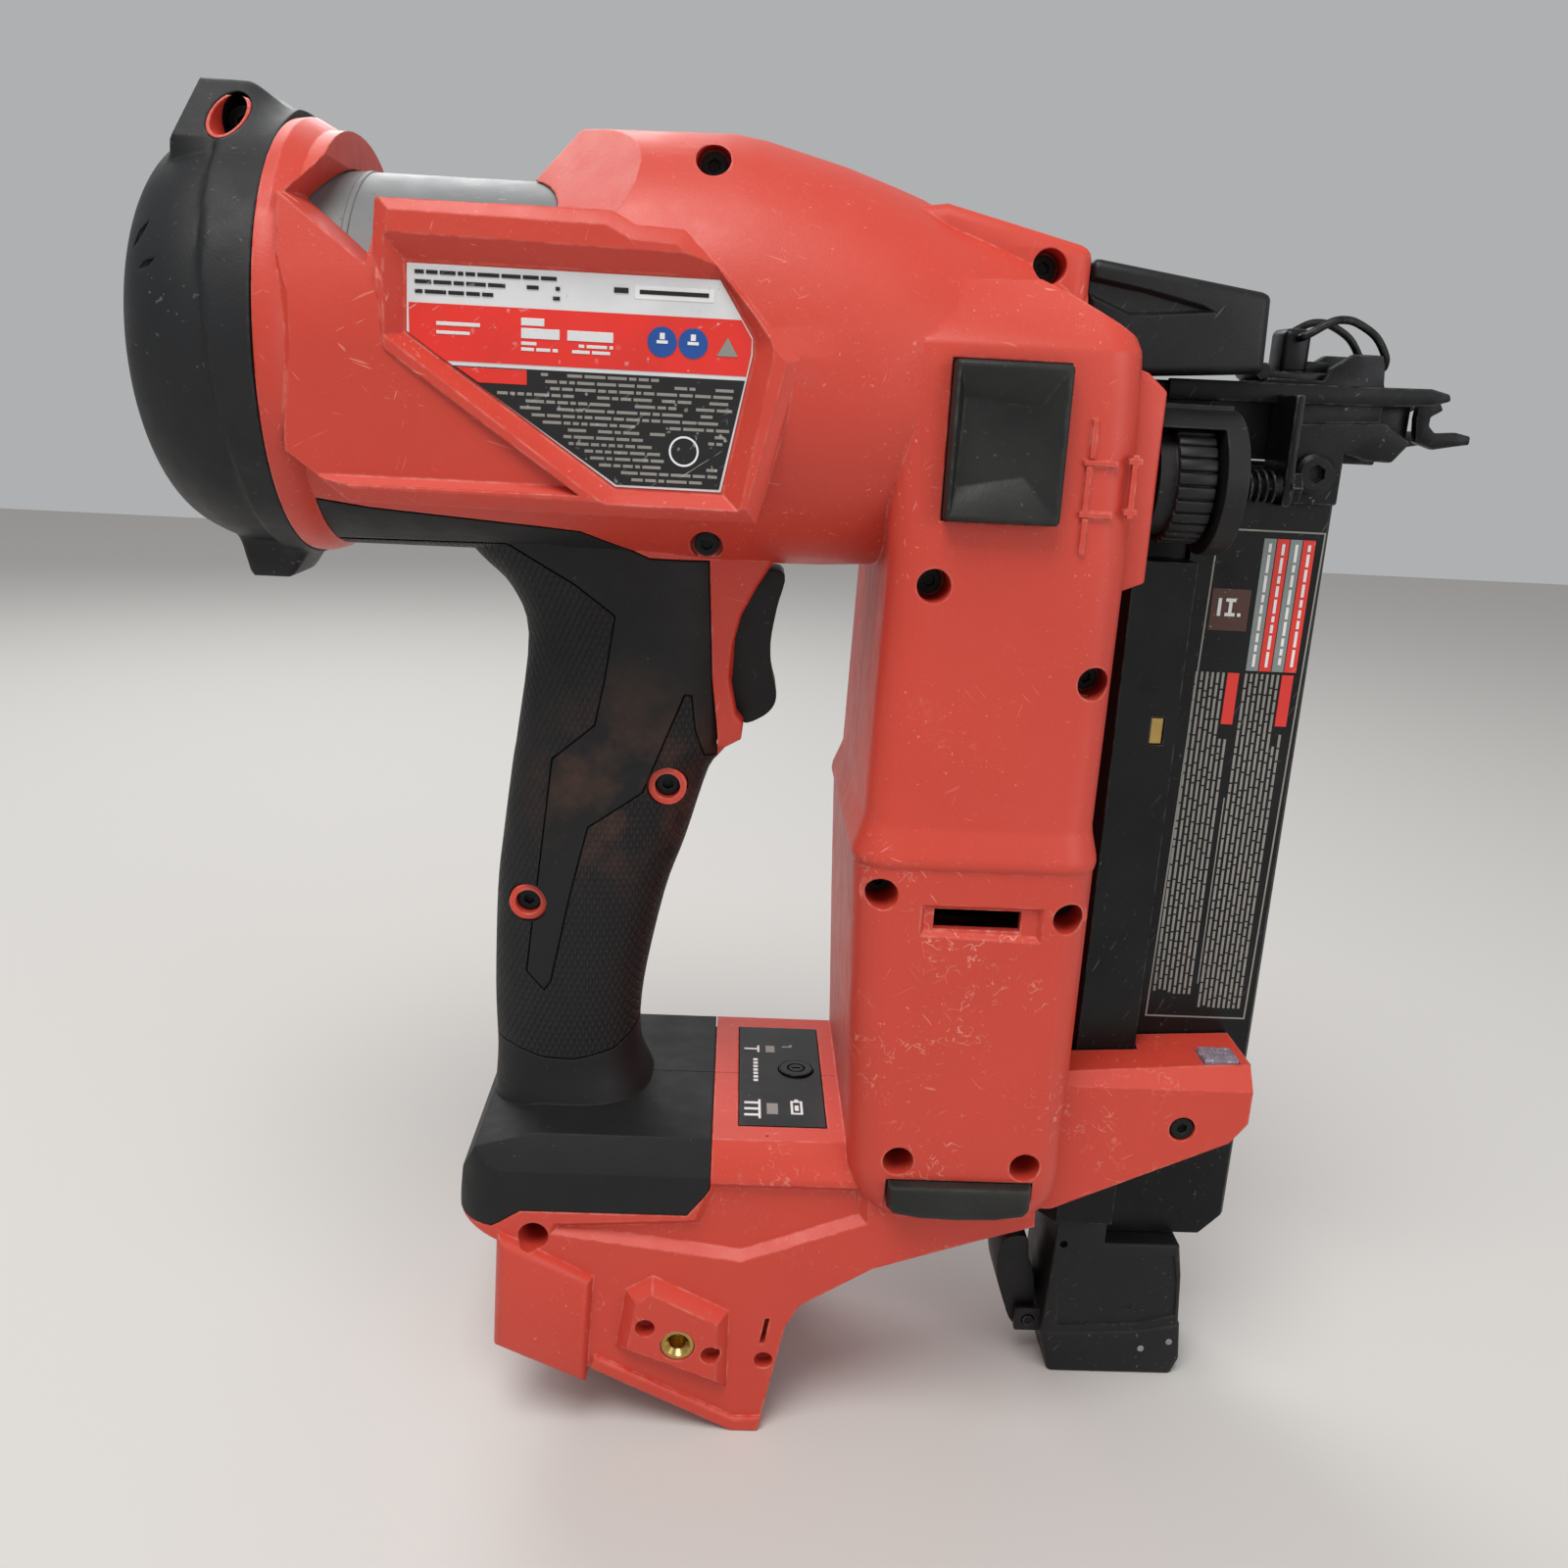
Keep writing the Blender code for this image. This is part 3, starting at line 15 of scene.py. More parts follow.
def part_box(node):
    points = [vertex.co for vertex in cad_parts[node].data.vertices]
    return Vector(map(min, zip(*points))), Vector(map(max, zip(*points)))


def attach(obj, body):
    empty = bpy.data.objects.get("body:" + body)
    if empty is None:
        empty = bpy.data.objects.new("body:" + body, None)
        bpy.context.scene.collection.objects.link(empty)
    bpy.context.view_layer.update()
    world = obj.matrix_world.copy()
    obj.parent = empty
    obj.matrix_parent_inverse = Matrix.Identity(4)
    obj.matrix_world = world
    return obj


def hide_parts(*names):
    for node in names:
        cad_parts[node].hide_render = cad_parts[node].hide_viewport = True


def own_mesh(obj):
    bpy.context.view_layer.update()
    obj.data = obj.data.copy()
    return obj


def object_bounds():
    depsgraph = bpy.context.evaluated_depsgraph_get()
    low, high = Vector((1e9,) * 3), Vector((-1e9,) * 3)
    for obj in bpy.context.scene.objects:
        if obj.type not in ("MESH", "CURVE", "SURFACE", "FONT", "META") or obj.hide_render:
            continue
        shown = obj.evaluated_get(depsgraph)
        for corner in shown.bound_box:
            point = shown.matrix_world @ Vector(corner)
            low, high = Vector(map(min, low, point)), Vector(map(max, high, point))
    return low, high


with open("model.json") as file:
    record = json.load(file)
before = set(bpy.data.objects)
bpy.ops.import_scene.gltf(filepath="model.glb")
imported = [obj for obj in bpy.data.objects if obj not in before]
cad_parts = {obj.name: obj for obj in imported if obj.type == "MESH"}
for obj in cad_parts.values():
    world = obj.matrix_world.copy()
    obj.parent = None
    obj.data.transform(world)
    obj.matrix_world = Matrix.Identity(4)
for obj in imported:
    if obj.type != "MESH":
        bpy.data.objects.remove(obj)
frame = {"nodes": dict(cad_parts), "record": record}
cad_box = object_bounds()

# ---------------------------------------------------------------- colours, linear
RED = (0.58, 0.052, 0.030)
RED_PALE = (0.90, 0.34, 0.27)
SCUFFED_PLACE = (0.036, -0.043, 0.105)
RUBBER = (0.0088, 0.0094, 0.0100)
RUBBER_DUST = (0.105, 0.050, 0.032)
PAD = (0.0095, 0.0105, 0.0095)
BLACK = (0.0070, 0.0074, 0.0082)
BLACK_WORN = (0.050, 0.050, 0.052)
STEEL_DARK = (0.013, 0.013, 0.014)
STEEL_BRIGHT = (0.42, 0.42, 0.43)
TANK_GREY = (0.170, 0.182, 0.186)
ALLOY = (0.42, 0.43, 0.45)
BRASS = (0.62, 0.42, 0.14)
COPPER = (0.50, 0.22, 0.09)
BOARD = (0.012, 0.085, 0.035)

# ---------------------------------------------------------------- camera, light, floor
CAMERA_PLACE = (-0.0178, -0.3297, 0.2510)
CAMERA_AXES = ((0.99831, -0.02713, 0.05131), (-0.04193, 0.27416, 0.96077),
               (-0.04013, -0.96130, 0.27256))      # right, up and back
CAMERA_LENS = 31.95
CAMERA_SENSOR = 36.0
FLOOR_SIZE = 4.0


def add_camera():
    data = bpy.data.cameras.new("camera")
    data.lens = CAMERA_LENS
    data.sensor_width = CAMERA_SENSOR
    data.clip_start = 0.01
    camera = bpy.data.objects.new("camera", data)
    turn = Matrix(CAMERA_AXES).transposed().to_4x4()
    camera.matrix_world = Matrix.Translation(CAMERA_PLACE) @ turn
    bpy.context.scene.collection.objects.link(camera)
    bpy.context.scene.camera = camera


def add_light(name, place, target, size, power, colour=(1.0, 1.0, 1.0)):
    data = bpy.data.lights.new(name, "AREA")
    data.shape = "DISK"
    data.size = size
    data.energy = power
    data.color = colour
    light = bpy.data.objects.new(name, data)
    light.location = place
    aim = Vector(target) - Vector(place)
    light.rotation_euler = aim.to_track_quat("-Z", "Y").to_euler()
    bpy.context.scene.collection.objects.link(light)


def add_stage():
    """Pale floor, soft light from above and a pale surrounding."""
    bm = bmesh.new()
    bmesh.ops.create_grid(bm, x_segments=1, y_segments=1, size=FLOOR_SIZE / 2)
    mesh = bpy.data.meshes.new("floor")
    bm.to_mesh(mesh)
    bm.free()
    floor = bpy.data.objects.new("floor", mesh)
    floor.location = (0, 0, cad_box[0][2])
    bpy.context.scene.collection.objects.link(floor)
    paint = bpy.data.materials.new("floor_paint")
    paint.use_nodes = True
    shader = paint.node_tree.nodes["Principled BSDF"]
    shader.inputs["Base Color"].default_value = (0.60, 0.585, 0.565, 1)
    shader.inputs["Roughness"].default_value = 0.9
    mesh.materials.append(paint)
    world = bpy.data.worlds.new("surround")
    world.use_nodes = True
    world.node_tree.nodes["Background"].inputs["Color"].default_value = (0.86, 0.87, 0.88, 1)
    world.node_tree.nodes["Background"].inputs["Strength"].default_value = 0.50
    bpy.context.scene.world = world
    bpy.context.scene.view_settings.view_transform = "Standard"
    add_light("key", (-0.25, -0.55, 1.25), (0.0, 0.0, 0.15), 0.7, 11.5, (1.0, 0.985, 0.96))
    add_light("fill", (0.9, -0.9, 0.5), (0.0, 0.0, 0.15), 0.8, 4.0)
    add_light("back", (-0.4, 0.9, 0.9), (0.0, 0.0, 0.2), 0.7, 6.0)


def mm(*rows):
    """A table of lengths given in millimetres, in metres."""
    return tuple(row if isinstance(row, str) else mm(*row) if isinstance(row, tuple)
                 else round(row / 1000, 9) for row in rows)


# ---------------------------------------------------------------- measures of the housing
GAP = 0.0003                 # clearance between pieces that touch
SKIN = 0.0022                # thickness of the rubber overmould
WELD = 0.000001
FLAT = math.radians(0.15)
SHARP = math.radians(30)
AXIS_Z = 0.2555              # axis of the barrel
TANK_R = 0.036
PAD_HALF = 0.0450            # half width across the flat label pads
HOOK_PAD_HALF = 0.0415
ARM_INNER = 0.0087
ARM_OUTER = 0.030

BARREL_SECTIONS = mm(        # X, lowest Z, highest Z, half width
    (-113, 210.3, 301, 45.4), (-110.5, 210.1, 301.3, 45.6), (-108, 210.8, 300, 44.6),
    (-106.4, 212, 299, 43.6), (-60, 212.2, 299.4, 43.4), (-54.5, 211.6, 302.3, 44),
    (-22, 211.7, 303, 44), (-15, 211.8, 302, 43.9), (2, 212.1, 297.8, 43.4),
    (13, 212.8, 294.3, 42.6), (19, 214.5, 292.2, 41.4), (24, 216.8, 289.8, 40),
    (33, 224, 287.2, 36), (44, 233, 284.8, 29), (54.1, 242, 282.6, 22.2))
HANDLE_SECTIONS = mm(        # Z, rear X, front X, half width
    (220, -86, -17, 19), (211, -77.5, -16.8, 18), (204, -70.3, -16.6, 17.5),
    (193, -66.3, -16.4, 17.5), (170, -68.8, -17.8, 17.5), (162, -70, -22.5, 17.5),
    (144, -72.2, -27.7, 17.5), (129, -73.7, -32.5, 17.5), (104, -74.3, -37.2, 17.2),
    (88, -73.8, -37.6, 17.5), (78, -74.2, -34, 20), (64, -75, -30, 24))
COLUMN_SECTIONS = mm(        # Z, rear X, front X, half width, corner radius
    (60, 22.5, 59, 35, 6), (62.2, 20.5, 61.2, 38.2, 7), (65.5, 18, 63.6, 40.8, 8),
    (70, 15.5, 64.6, 42.4, 8.5), (76, 14.1, 64.9, 43, 8.5), (119, 12.1, 65, 43, 8.5),
    (151.2, 10.8, 65, 43, 8.5), (152, 10.3, 65.3, 43.6, 8.8), (153, 10.1, 65.4, 43.8, 8.8),
    (154.5, 10.3, 65.3, 43.6, 8.8), (159.5, 12.1, 64.2, 41.8, 8), (161.2, 12.6, 64, 41.5, 8),
    (219, 14, 64.5, 41.5, 8), (248, 11.3, 64, 41.5, 8), (261.2, 11.7, 63, 41.5, 8),
    (262.2, 11.8, 62.8, 41.2, 7.8), (271, 12.8, 60, 35.2, 7), (279, 14, 56, 28.5, 6))
COLUMN_SIDE = mm((5, 50), (5, 264), (13.5, 270), (18.9, 273.9), (41.5, 275.1), (48.1, 272),
    (61, 264.9), (70, 256), (70, 50))
COLUMN_BULGE = mm((60, 212.3), (64.5, 212.8), (69.7, 215), (69.7, 254.5), (65.5, 258), (60, 260))
SIDES = ((-1, "left"), (1, "right"))   # sign of Y and word in names
WIDE = 0.060                 # half width of cutters that are wider than the tool
HOOD_HALF = 0.0215
GUARD_HALF = 0.0135
HOOD = mm((9, 258), (9, 288), (23, 290), (54.3, 282.8), (54.3, 258))
LABEL_PAD = mm((-107.8, 234.6), (-107.8, 281.2), (-89.8, 270.6), (-88.8, 282.2), (-45, 281.6),
    (-40, 279.2), (-31, 278.8), (-7.2, 256.8), (-14.8, 225.2), (-45.6, 225.2), (-95.9, 225.6))
POCKET_EDGE = mm((-88, 276.2), (-26.2, 275.2), (-12.5, 259.6), (-12.3, 256.6), (-17.6, 226.4),
    (-44.6, 226.6), (-88, 257.2))
LABEL = mm((-84, 270.8), (-23.4, 270.8), (-16.6, 260.3), (-16.5, 257.2), (-21.8, 230.2),
    (-43.1, 230.3), (-84.3, 258.2))
LABEL_Y = 0.0414             # plane of the label's back, at the bottom of its pocket
TROUGH = mm(                 # sloped face at the cap
    (-113, 230), (-96, 228.4), (-50, 228.4), (-88, 254.5), (-89, 264), (-90.5, 283), (-113, 283))
TROUGH_CROSS = mm((48, 290), (40.8, 283), (44.7, 264), (44.7, 255), (42.5, 230), (45.4, 227.6),
    (48, 227.6))
WINDOW_INNER = mm((-103.2, 291.2), (-107.8, 283.2), (-92.5, 272), (-88.8, 281.2), (-66, 282.2),
    (-64, 291.3), (-55.8, 301.2), (-54.8, 325), (-103.2, 325))
WINDOW_OUTER = mm((-105.2, 290.6), (-109.2, 282.6), (-91.5, 269.8), (-89.4, 282.2), (-66, 282.2),
    (-64, 291.3), (-55.8, 301.2), (-54.8, 325), (-105.2, 325))
FIN_POINT = mm(-54, 4, 302.4)   # slanted flat in front of the tank window
FIN_NORMAL = (-0.53, 0.54, 0.65)
FOOT = mm((-79, 56), (-77.5, 68), (-74, 75.5), (-60, 78.5), (20, 78.5), (45, 78.5), (60, 70),
    (60.4, 60), (45.3, 55.1), (22, 47), (5, 36.2), (1.7, 30), (-3.8, 0), (-10.5, 0), (-45.7, 17.3),
    (-48.4, 16.1), (-67.9, 24.9), (-68, 52))
FOOT_CROSS = mm((-38, -10), (-38, 70.5), (-33, 79.4), (33, 79.4), (38, 70.5), (38, -10))
FOOT_PLAN = mm(-79.1, 75, 38.2, 13)   # rear X, front X, half width, corner
FOOT_FACET = mm((-56, 54.2), (-9.7, 48), (20, 59.4), (20, 69), (-18, 69), (-21.5, 59), (-55, 57))
FOOT_BLOCK = mm((-68, 24.5), (-67.2, 53), (-46.6, 42.2), (-47.8, 15.2))
HOOK_PAD = mm((-37.4, 24.5), (-14, 15.3), (-14.2, 33), (-30.9, 41.3), (-35.5, 38.4))
HOOK_PAD_BLIND = mm((-32.4, 31.1), (-16.3, 23.8))
BLIND_R = 0.0024
FOOT_SLIT = mm((-4.4, 24.9), (-3.2, 24.9), (-2.1, 32.2), (-3.3, 32.2))
FOOT_NOTCH = mm(-3.2, 20.2, 2.3)   # X, Z and radius
TRIGGER_GUARD = mm((-30, 215), (-30, 170), (-19.5, 169), (-15.2, 171.5), (-14.8, 175.8),
    (-16.5, 177.5), (-18.4, 186.5), (-18, 193.7), (-16.3, 200.9), (-13, 207.5), (-8.5, 215))
FOOT_LIP = mm((-45.7, 17.3), (-10.5, 0), (-3.8, 0), (-3, 4), (-9.8, 3.6), (-44.8, 20.8))
ARM = mm((58, 96), (112, 99), (112, 85), (108, 79.6), (66, 60), (58, 60))
ARM_CROSS = mm((8.7, 50), (8.7, 105), (26.2, 105), (26.2, 98.5), (30, 93.5), (30, 50))
GRIP_AREA = mm((-106, 224), (-95.5, 222.5), (-51.8, 219.2), (-37.4, 213.1), (-24.3, 212.7),
    (-22.7, 185.5), (-21, 172.5), (-21, 165.5), (-10, 160), (-10, 96), (-18.3, 96), (-18.3, 67.2),
    (-23.5, 60.4), (-63, 60.4), (-70, 56), (-90, 55.5), (-106, 200))
GRIP_TEXTURE = mm((-110, 214.1), (-69.3, 214.8), (-54.1, 206.5), (-45, 199.9), (-47.1, 185.2),
    (-49.2, 174.6), (-59.1, 165.8), (-62.5, 133.7), (-63.8, 122.5), (-64.9, 112.2), (-60.3, 107.6),
    (-58.5, 110.2), (-54, 132.9), (-50.1, 149.7), (-37.5, 158.6), (-28.5, 182), (-27.2, 181.8),
    (-26.2, 173.8), (-23.8, 167.1), (-5, 164), (-5, 95.8), (-37.1, 95.8), (-43.4, 91.8),
    (-53.1, 89.9), (-60.6, 90.2), (-69.1, 92.3), (-110, 92.3))
SCREWS = mm(                 # name, X, Z, distance of the head's seat from Y = 0
    ("barrel_top", -25.9, 294.5, 16), ("hood", 44.9, 278.6, 12),
    ("barrel_bottom", -24.7, 217.2, 16), ("column_top", 23.2, 213.3, 30),
    ("grip_top", -32, 160, 10), ("grip_low", -64.5, 129.7, 10), ("column_rear", 17, 145.3, 30),
    ("column_front", 59, 141, 30), ("column_side", 59, 194, 30), ("foot_rear", -59.8, 53.5, 26),
    ("column_low_rear", 25.4, 79.6, 30), ("column_low_front", 55.2, 78.8, 30))
SCREW_BORE_R = 0.0036
GRIP_BORE_R = 0.0030
SCREW_PILOT_R = 0.0019
SCREW_END_Y = 0.0088
POST_R = 0.0048
GRIP_POST_R = 0.0045
INSERT_BORE_R = 0.0042
POST_REACH = {"column": 0.0388, "grip": 0.0148, "hood": 0.0160, "foot": 0.0250}
LOW_POST_REACH = 0.0397
SIDE_POST_REACH = 0.0352
ARM_SCREW = mm(96, 83)
UPPER_BUMPER = mm((23.6, 227), (47.2, 258.6), 39.5)
LOWER_BUMPER = mm((23.2, 65.2), (57.3, 74.5), 40.5)
BUMPER_HALF = 0.046
HOOK_POINT = mm(-24.4, 26.3)
TRIGGER_PIVOT = mm(-20, 205)
BATTERY_TILT = math.radians(27)
BATTERY_START = mm(-45.7, 17.3)
LENS_POCKET = mm((100.7, -25.8, 95.7), (109.8, -17.7, 104))
ROOMS = mm(                  # rooms inside the halves: low corner, high corner
    ((3, -28, 229), (30, 28, 272)), ((3, -15, 262), (51.3, 15, 278)),
    ((50, -12.5, 237.5), (80, 12.5, 266.5)), ((54.6, -17.5, 257.5), (80, 17.5, 285)),
    ((58, -25, 232), (80, -17, 240)), ((65.5, -17, 50), (86.9, 17, 105)),
    ((66.8, -17, 206), (80, 17, 241.5)), ((-62, -24, 45), (10, 24, 73.5)),
    ((9, -20, 64), (25, 20, 73)), ((-27, -7.2, 170), (-6, 7.2, 211.2)),
    ((-11.9, -27.2, 75.3), (9.9, 27.2, 85)), ((-0.8, -1.4, 70), (7.2, 6.6, 77)))
PANEL_PINHOLE = mm(-4.9, -31.5)
VENT = mm((29, 137.4), (48.5, 142.2))
VENT_RECESS = mm((26.2, 136.2), (26.2, 143.2), (53, 143.2), (53, 135.4))
UPPER_SPACE = mm((16.5, 157), (17.2, 219), (16.5, 259), (58, 259), (60.5, 157))
LOWER_SPACE = mm((16, 158), (16.5, 119), (17.5, 76), (24.5, 64), (59, 63.5), (61.2, 69),
    (61.2, 158))
UPPER_SPACE_HALF = 0.0385
LOWER_SPACE_HALF = 0.0395


# ---------------------------------------------------------------- modelling helpers
def add_object(name, data):
    made = bpy.data.objects.new(name, data)
    bpy.context.scene.collection.objects.link(made)
    return made


def from_bmesh(name, bm):
    mesh = bpy.data.meshes.new(name)
    bmesh.ops.recalc_face_normals(bm, faces=bm.faces)
    bmesh.ops.triangulate(bm, faces=bm.faces)
    bm.to_mesh(mesh)
    bm.free()
    return add_object(name, mesh)


def bake(made, simplify=True):
    """Replace an object's curve or modifiers by the mesh that they make, welded."""
    bpy.context.view_layer.update()
    graph = bpy.context.evaluated_depsgraph_get()
    mesh = bpy.data.meshes.new_from_object(made.evaluated_get(graph))
    bm = bmesh.new()
    bm.from_mesh(mesh)
    bm.transform(made.matrix_world)
    bmesh.ops.remove_doubles(bm, verts=bm.verts, dist=WELD)
    if simplify:
        bmesh.ops.dissolve_degenerate(bm, edges=bm.edges, dist=WELD)
        bmesh.ops.dissolve_limit(bm, angle_limit=FLAT, verts=bm.verts, edges=bm.edges)
        bmesh.ops.triangulate(bm, faces=bm.faces)
    bm.to_mesh(mesh)
    bm.free()
    name = made.name
    bpy.data.objects.remove(made, do_unlink=True)
    return add_object(name, mesh)


def bevelled(made, width, segments=3, angle=math.radians(28)):
    bevel = made.modifiers.new("bevel", "BEVEL")
    bevel.width = width
    bevel.segments = segments
    bevel.limit_method = "ANGLE"
    bevel.angle_limit = angle
    return bake(made)


def plate(name, outline, low, high, axis="Y", bevel=0.0, segments=3):
    """A flat outline given thickness from low to high along an axis.

    Along Y the outline is (X, Z), along X it is (Y, Z) and along Z it is (X, Y).
    """
    curve = bpy.data.curves.new(name, "CURVE")
    curve.dimensions = "2D"
    curve.fill_mode = "BOTH"
    curve.extrude = (high - low) / 2
    spline = curve.splines.new("POLY")
    spline.points.add(len(outline) - 1)
    for point, (u, v) in zip(spline.points, outline):
        point.co = (u, v, 0.0, 1.0)
    spline.use_cyclic_u = True
    made = add_object(name, curve)
    middle = (low + high) / 2
    turn = {"Y": Matrix(((1, 0, 0, 0), (0, 0, -1, 0), (0, 1, 0, 0), (0, 0, 0, 1))),
            "X": Matrix(((0, 0, 1, 0), (1, 0, 0, 0), (0, 1, 0, 0), (0, 0, 0, 1))),
            "Z": Matrix.Identity(4)}[axis]
    offset = {"Y": (0, middle, 0), "X": (middle, 0, 0), "Z": (0, 0, middle)}[axis]
    made.matrix_world = Matrix.Translation(offset) @ turn
    solid = bake(made)
    return bevelled(solid, bevel, segments) if bevel else solid


def box(name, low, high, bevel=0.0, segments=3):
    bm = bmesh.new()
    bmesh.ops.create_cube(bm, size=1.0)
    bmesh.ops.scale(bm, vec=Vector(high) - Vector(low), verts=bm.verts)
    bmesh.ops.translate(bm, vec=(Vector(low) + Vector(high)) / 2, verts=bm.verts)
    mesh = bpy.data.meshes.new(name)
    bm.to_mesh(mesh)
    bm.free()
    solid = add_object(name, mesh)
    return bevelled(solid, bevel, segments) if bevel else bake(solid)


def rod(name, place, start, end, radius, sides=32, end_radius=None, axis="Y"):
    """A round bar or cone that runs from start to end through a place across its axis.

    Along Y the place is (X, Z), along X it is (Y, Z) and along Z it is (X, Y).
    """
    u, v = place
    start, end = {"X": (Vector((start, u, v)), Vector((end, u, v))),
                  "Y": (Vector((u, start, v)), Vector((u, end, v))),
                  "Z": (Vector((u, v, start)), Vector((u, v, end)))}[axis]
    along = end - start
    bm = bmesh.new()
    bmesh.ops.create_cone(bm, cap_ends=True, segments=sides, radius1=radius,
                          radius2=radius if end_radius is None else end_radius,
                          depth=along.length)
    turn = Vector((0, 0, 1)).rotation_difference(along).to_matrix().to_4x4()
    bm.transform(Matrix.Translation((start + end) / 2) @ turn)
    return from_bmesh(name, bm)


def loft(name, rings):
    """Skin a row of rings that have the same number of points, with flat ends."""
    bm = bmesh.new()
    loops = [[bm.verts.new(point) for point in ring] for ring in rings]
    for low, high in zip(loops, loops[1:]):
        for here in range(len(low)):
            there = (here + 1) % len(low)
            bm.faces.new((low[here], low[there], high[there], high[here]))
    bm.faces.new(list(reversed(loops[0])))
    bm.faces.new(loops[-1])
    return from_bmesh(name, bm)


def superellipse(half_a, half_b, power, sides):
    points = []
    for step in range(sides):
        turn = 2 * math.pi * (step + 0.5) / sides
        c, s = math.cos(turn), math.sin(turn)
        points.append((half_a * math.copysign(abs(c) ** (2 / power), c),
                       half_b * math.copysign(abs(s) ** (2 / power), s)))
    return points


def rounded(low_a, high_a, half_b, radius, steps=7):
    """A rectangle with round corners, from low_a to high_a and from -half_b to half_b."""
    points = []
    corners = ((high_a - radius, half_b - radius, 0), (low_a + radius, half_b - radius, 90),
               (low_a + radius, radius - half_b, 180), (high_a - radius, radius - half_b, 270))
    for centre_a, centre_b, start in corners:
        for step in range(steps + 1):
            turn = math.radians(start + 90 * step / steps)
            points.append((centre_a + radius * math.cos(turn),
                           centre_b + radius * math.sin(turn)))
    return points


def combine(solid, tools, operation):
    """One exact Boolean with all tools at once."""
    group = bpy.data.collections.new("tools")
    for tool in tools:
        group.objects.link(tool)
    boolean = solid.modifiers.new("boolean", "BOOLEAN")
    boolean.operation = operation
    boolean.solver = "EXACT"
    boolean.operand_type = "COLLECTION"
    boolean.collection = group
    solid = bake(solid)
    for tool in tools:
        bpy.data.objects.remove(tool, do_unlink=True)
    bpy.data.collections.remove(group)
    return solid


def union(target, *tools):
    for tool in tools:
        target = combine(target, [tool], "UNION")
    return target


def cut(target, *tools):
    return combine(target, tools, "DIFFERENCE")


def keep(target, tool):
    return combine(target, [tool], "INTERSECT")


def copy_of(source, name):
    return add_object(name, source.data.copy())


def grown(outline, distance):
    """The same outline with every side moved outwards by a distance."""
    area = sum(a[0] * b[1] - b[0] * a[1] for a, b in zip(outline, outline[1:] + outline[:1]))
    side = distance if area > 0 else -distance
    moved = []
    for index, point in enumerate(outline):
        before = Vector(point) - Vector(outline[index - 1])
        after = Vector(outline[(index + 1) % len(outline)]) - Vector(point)
        first = Vector((before.y, -before.x)).normalized()
        second = Vector((after.y, -after.x)).normalized()
        mitre = (first + second).normalized()
        step = mitre * side / max(mitre.dot(first), 0.4)
        moved.append((point[0] + step.x, point[1] + step.y))
    return tuple(moved)


def side_loft(name, layers):
    """Skin outlines (X, Z) that lie at different Y; layers are (Y, outline)."""
    return loft(name, [[(x, y, z) for x, z in outline] for y, outline in layers])


def show(made, name, look, body="tool_body", replaces=None, sharp=SHARP):
    """Turn a working object into a shown piece that rides on a body."""
    made.name = name
    made.data.name = name
    made.data.materials.clear()
    made.data.materials.append(looks[look])
    made.data.shade_smooth()
    made.data.set_sharp_from_angle(angle=sharp)
    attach(made, body)
    if replaces:
        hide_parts(replaces)
    return made


# ---------------------------------------------------------------- outer shapes of the housing
def barrel(inset=0.0, sides=88):
    rings = []
    for index, (x, low, high, half) in enumerate(BARREL_SECTIONS):
        if index in (0, len(BARREL_SECTIONS) - 1):
            x += math.copysign(inset, -x)
        oval = superellipse(half - inset, (high - low) / 2 - inset, 2.15, sides)
        rings.append([(x, y, (low + high) / 2 + z) for y, z in oval])
    return loft("barrel", rings)


def handle(inset=0.0, sides=56):
    rings = []
    for z, rear, front, half in smooth_rows(HANDLE_SECTIONS, 4):
        oval = superellipse((front - rear) / 2 - inset, half - inset, 2.5, sides)
        rings.append([((rear + front) / 2 + x, y, z) for x, y in oval])
    return loft("handle", rings)


def smooth_rows(rows, steps):
    """Rows between given rows, on a smooth curve through them."""
    made = []
    last = len(rows) - 1
    for index in range(last):
        p0, p1, p2, p3 = (rows[max(index - 1, 0)], rows[index], rows[index + 1],
                          rows[min(index + 2, last)])
        for step in range(steps):
            t = step / steps
            made.append(tuple(
                0.5 * (2 * b + (c - a) * t + (2 * a - 5 * b + 4 * c - d) * t * t
                       + (3 * b - a - 3 * c + d) * t * t * t)
                for a, b, c, d in zip(p0, p1, p2, p3)))
    made.append(rows[-1])
    return made


def foot(inset=0.0, roundness=0.0):
    side = plate("foot", grown(FOOT, -inset), -0.045, 0.045)
    cross = plate("foot_cross", grown(FOOT_CROSS, -inset), -0.090, 0.070, axis="X")
    rear, front, half_width, radius = FOOT_PLAN
    plan = rounded(rear + inset, front - inset, half_width - inset, radius - inset, 10)
    solid = keep(keep(side, cross), plate("foot_plan", plan, -0.0200, 0.1000, axis="Z"))
    return bevelled(solid, roundness, 5) if roundness else solid


def column():
    rings = [[(x, y, z) for x, y in rounded(rear, front, half, radius)]
             for z, rear, front, half, radius in COLUMN_SECTIONS]
    body = keep(loft("column", rings), plate("column_side", COLUMN_SIDE, -WIDE, WIDE))
    bulge = plate("column_bulge", COLUMN_BULGE, -0.033, 0.033, bevel=0.003)
    return union(body, bulge)


def arms():
    halves = []
    for side in (-1, 1):
        low, high = on_side(side, ARM_INNER, ARM_OUTER)
        cross = [(side * y, z) for y, z in ARM_CROSS]
        halves.append(keep(plate("arm", ARM, low - 0.001, high + 0.001),
                           plate("arm_cross", cross, 0.0550, 0.1200, axis="X")))
    return halves


def both_sides(make):
    return [make(side) for side in (-1, 1)]


def on_side(side, inner, outer):
    """Lowest and highest Y of a layer on the left (-1) or right (1) side."""
    return sorted((side * inner, side * outer))


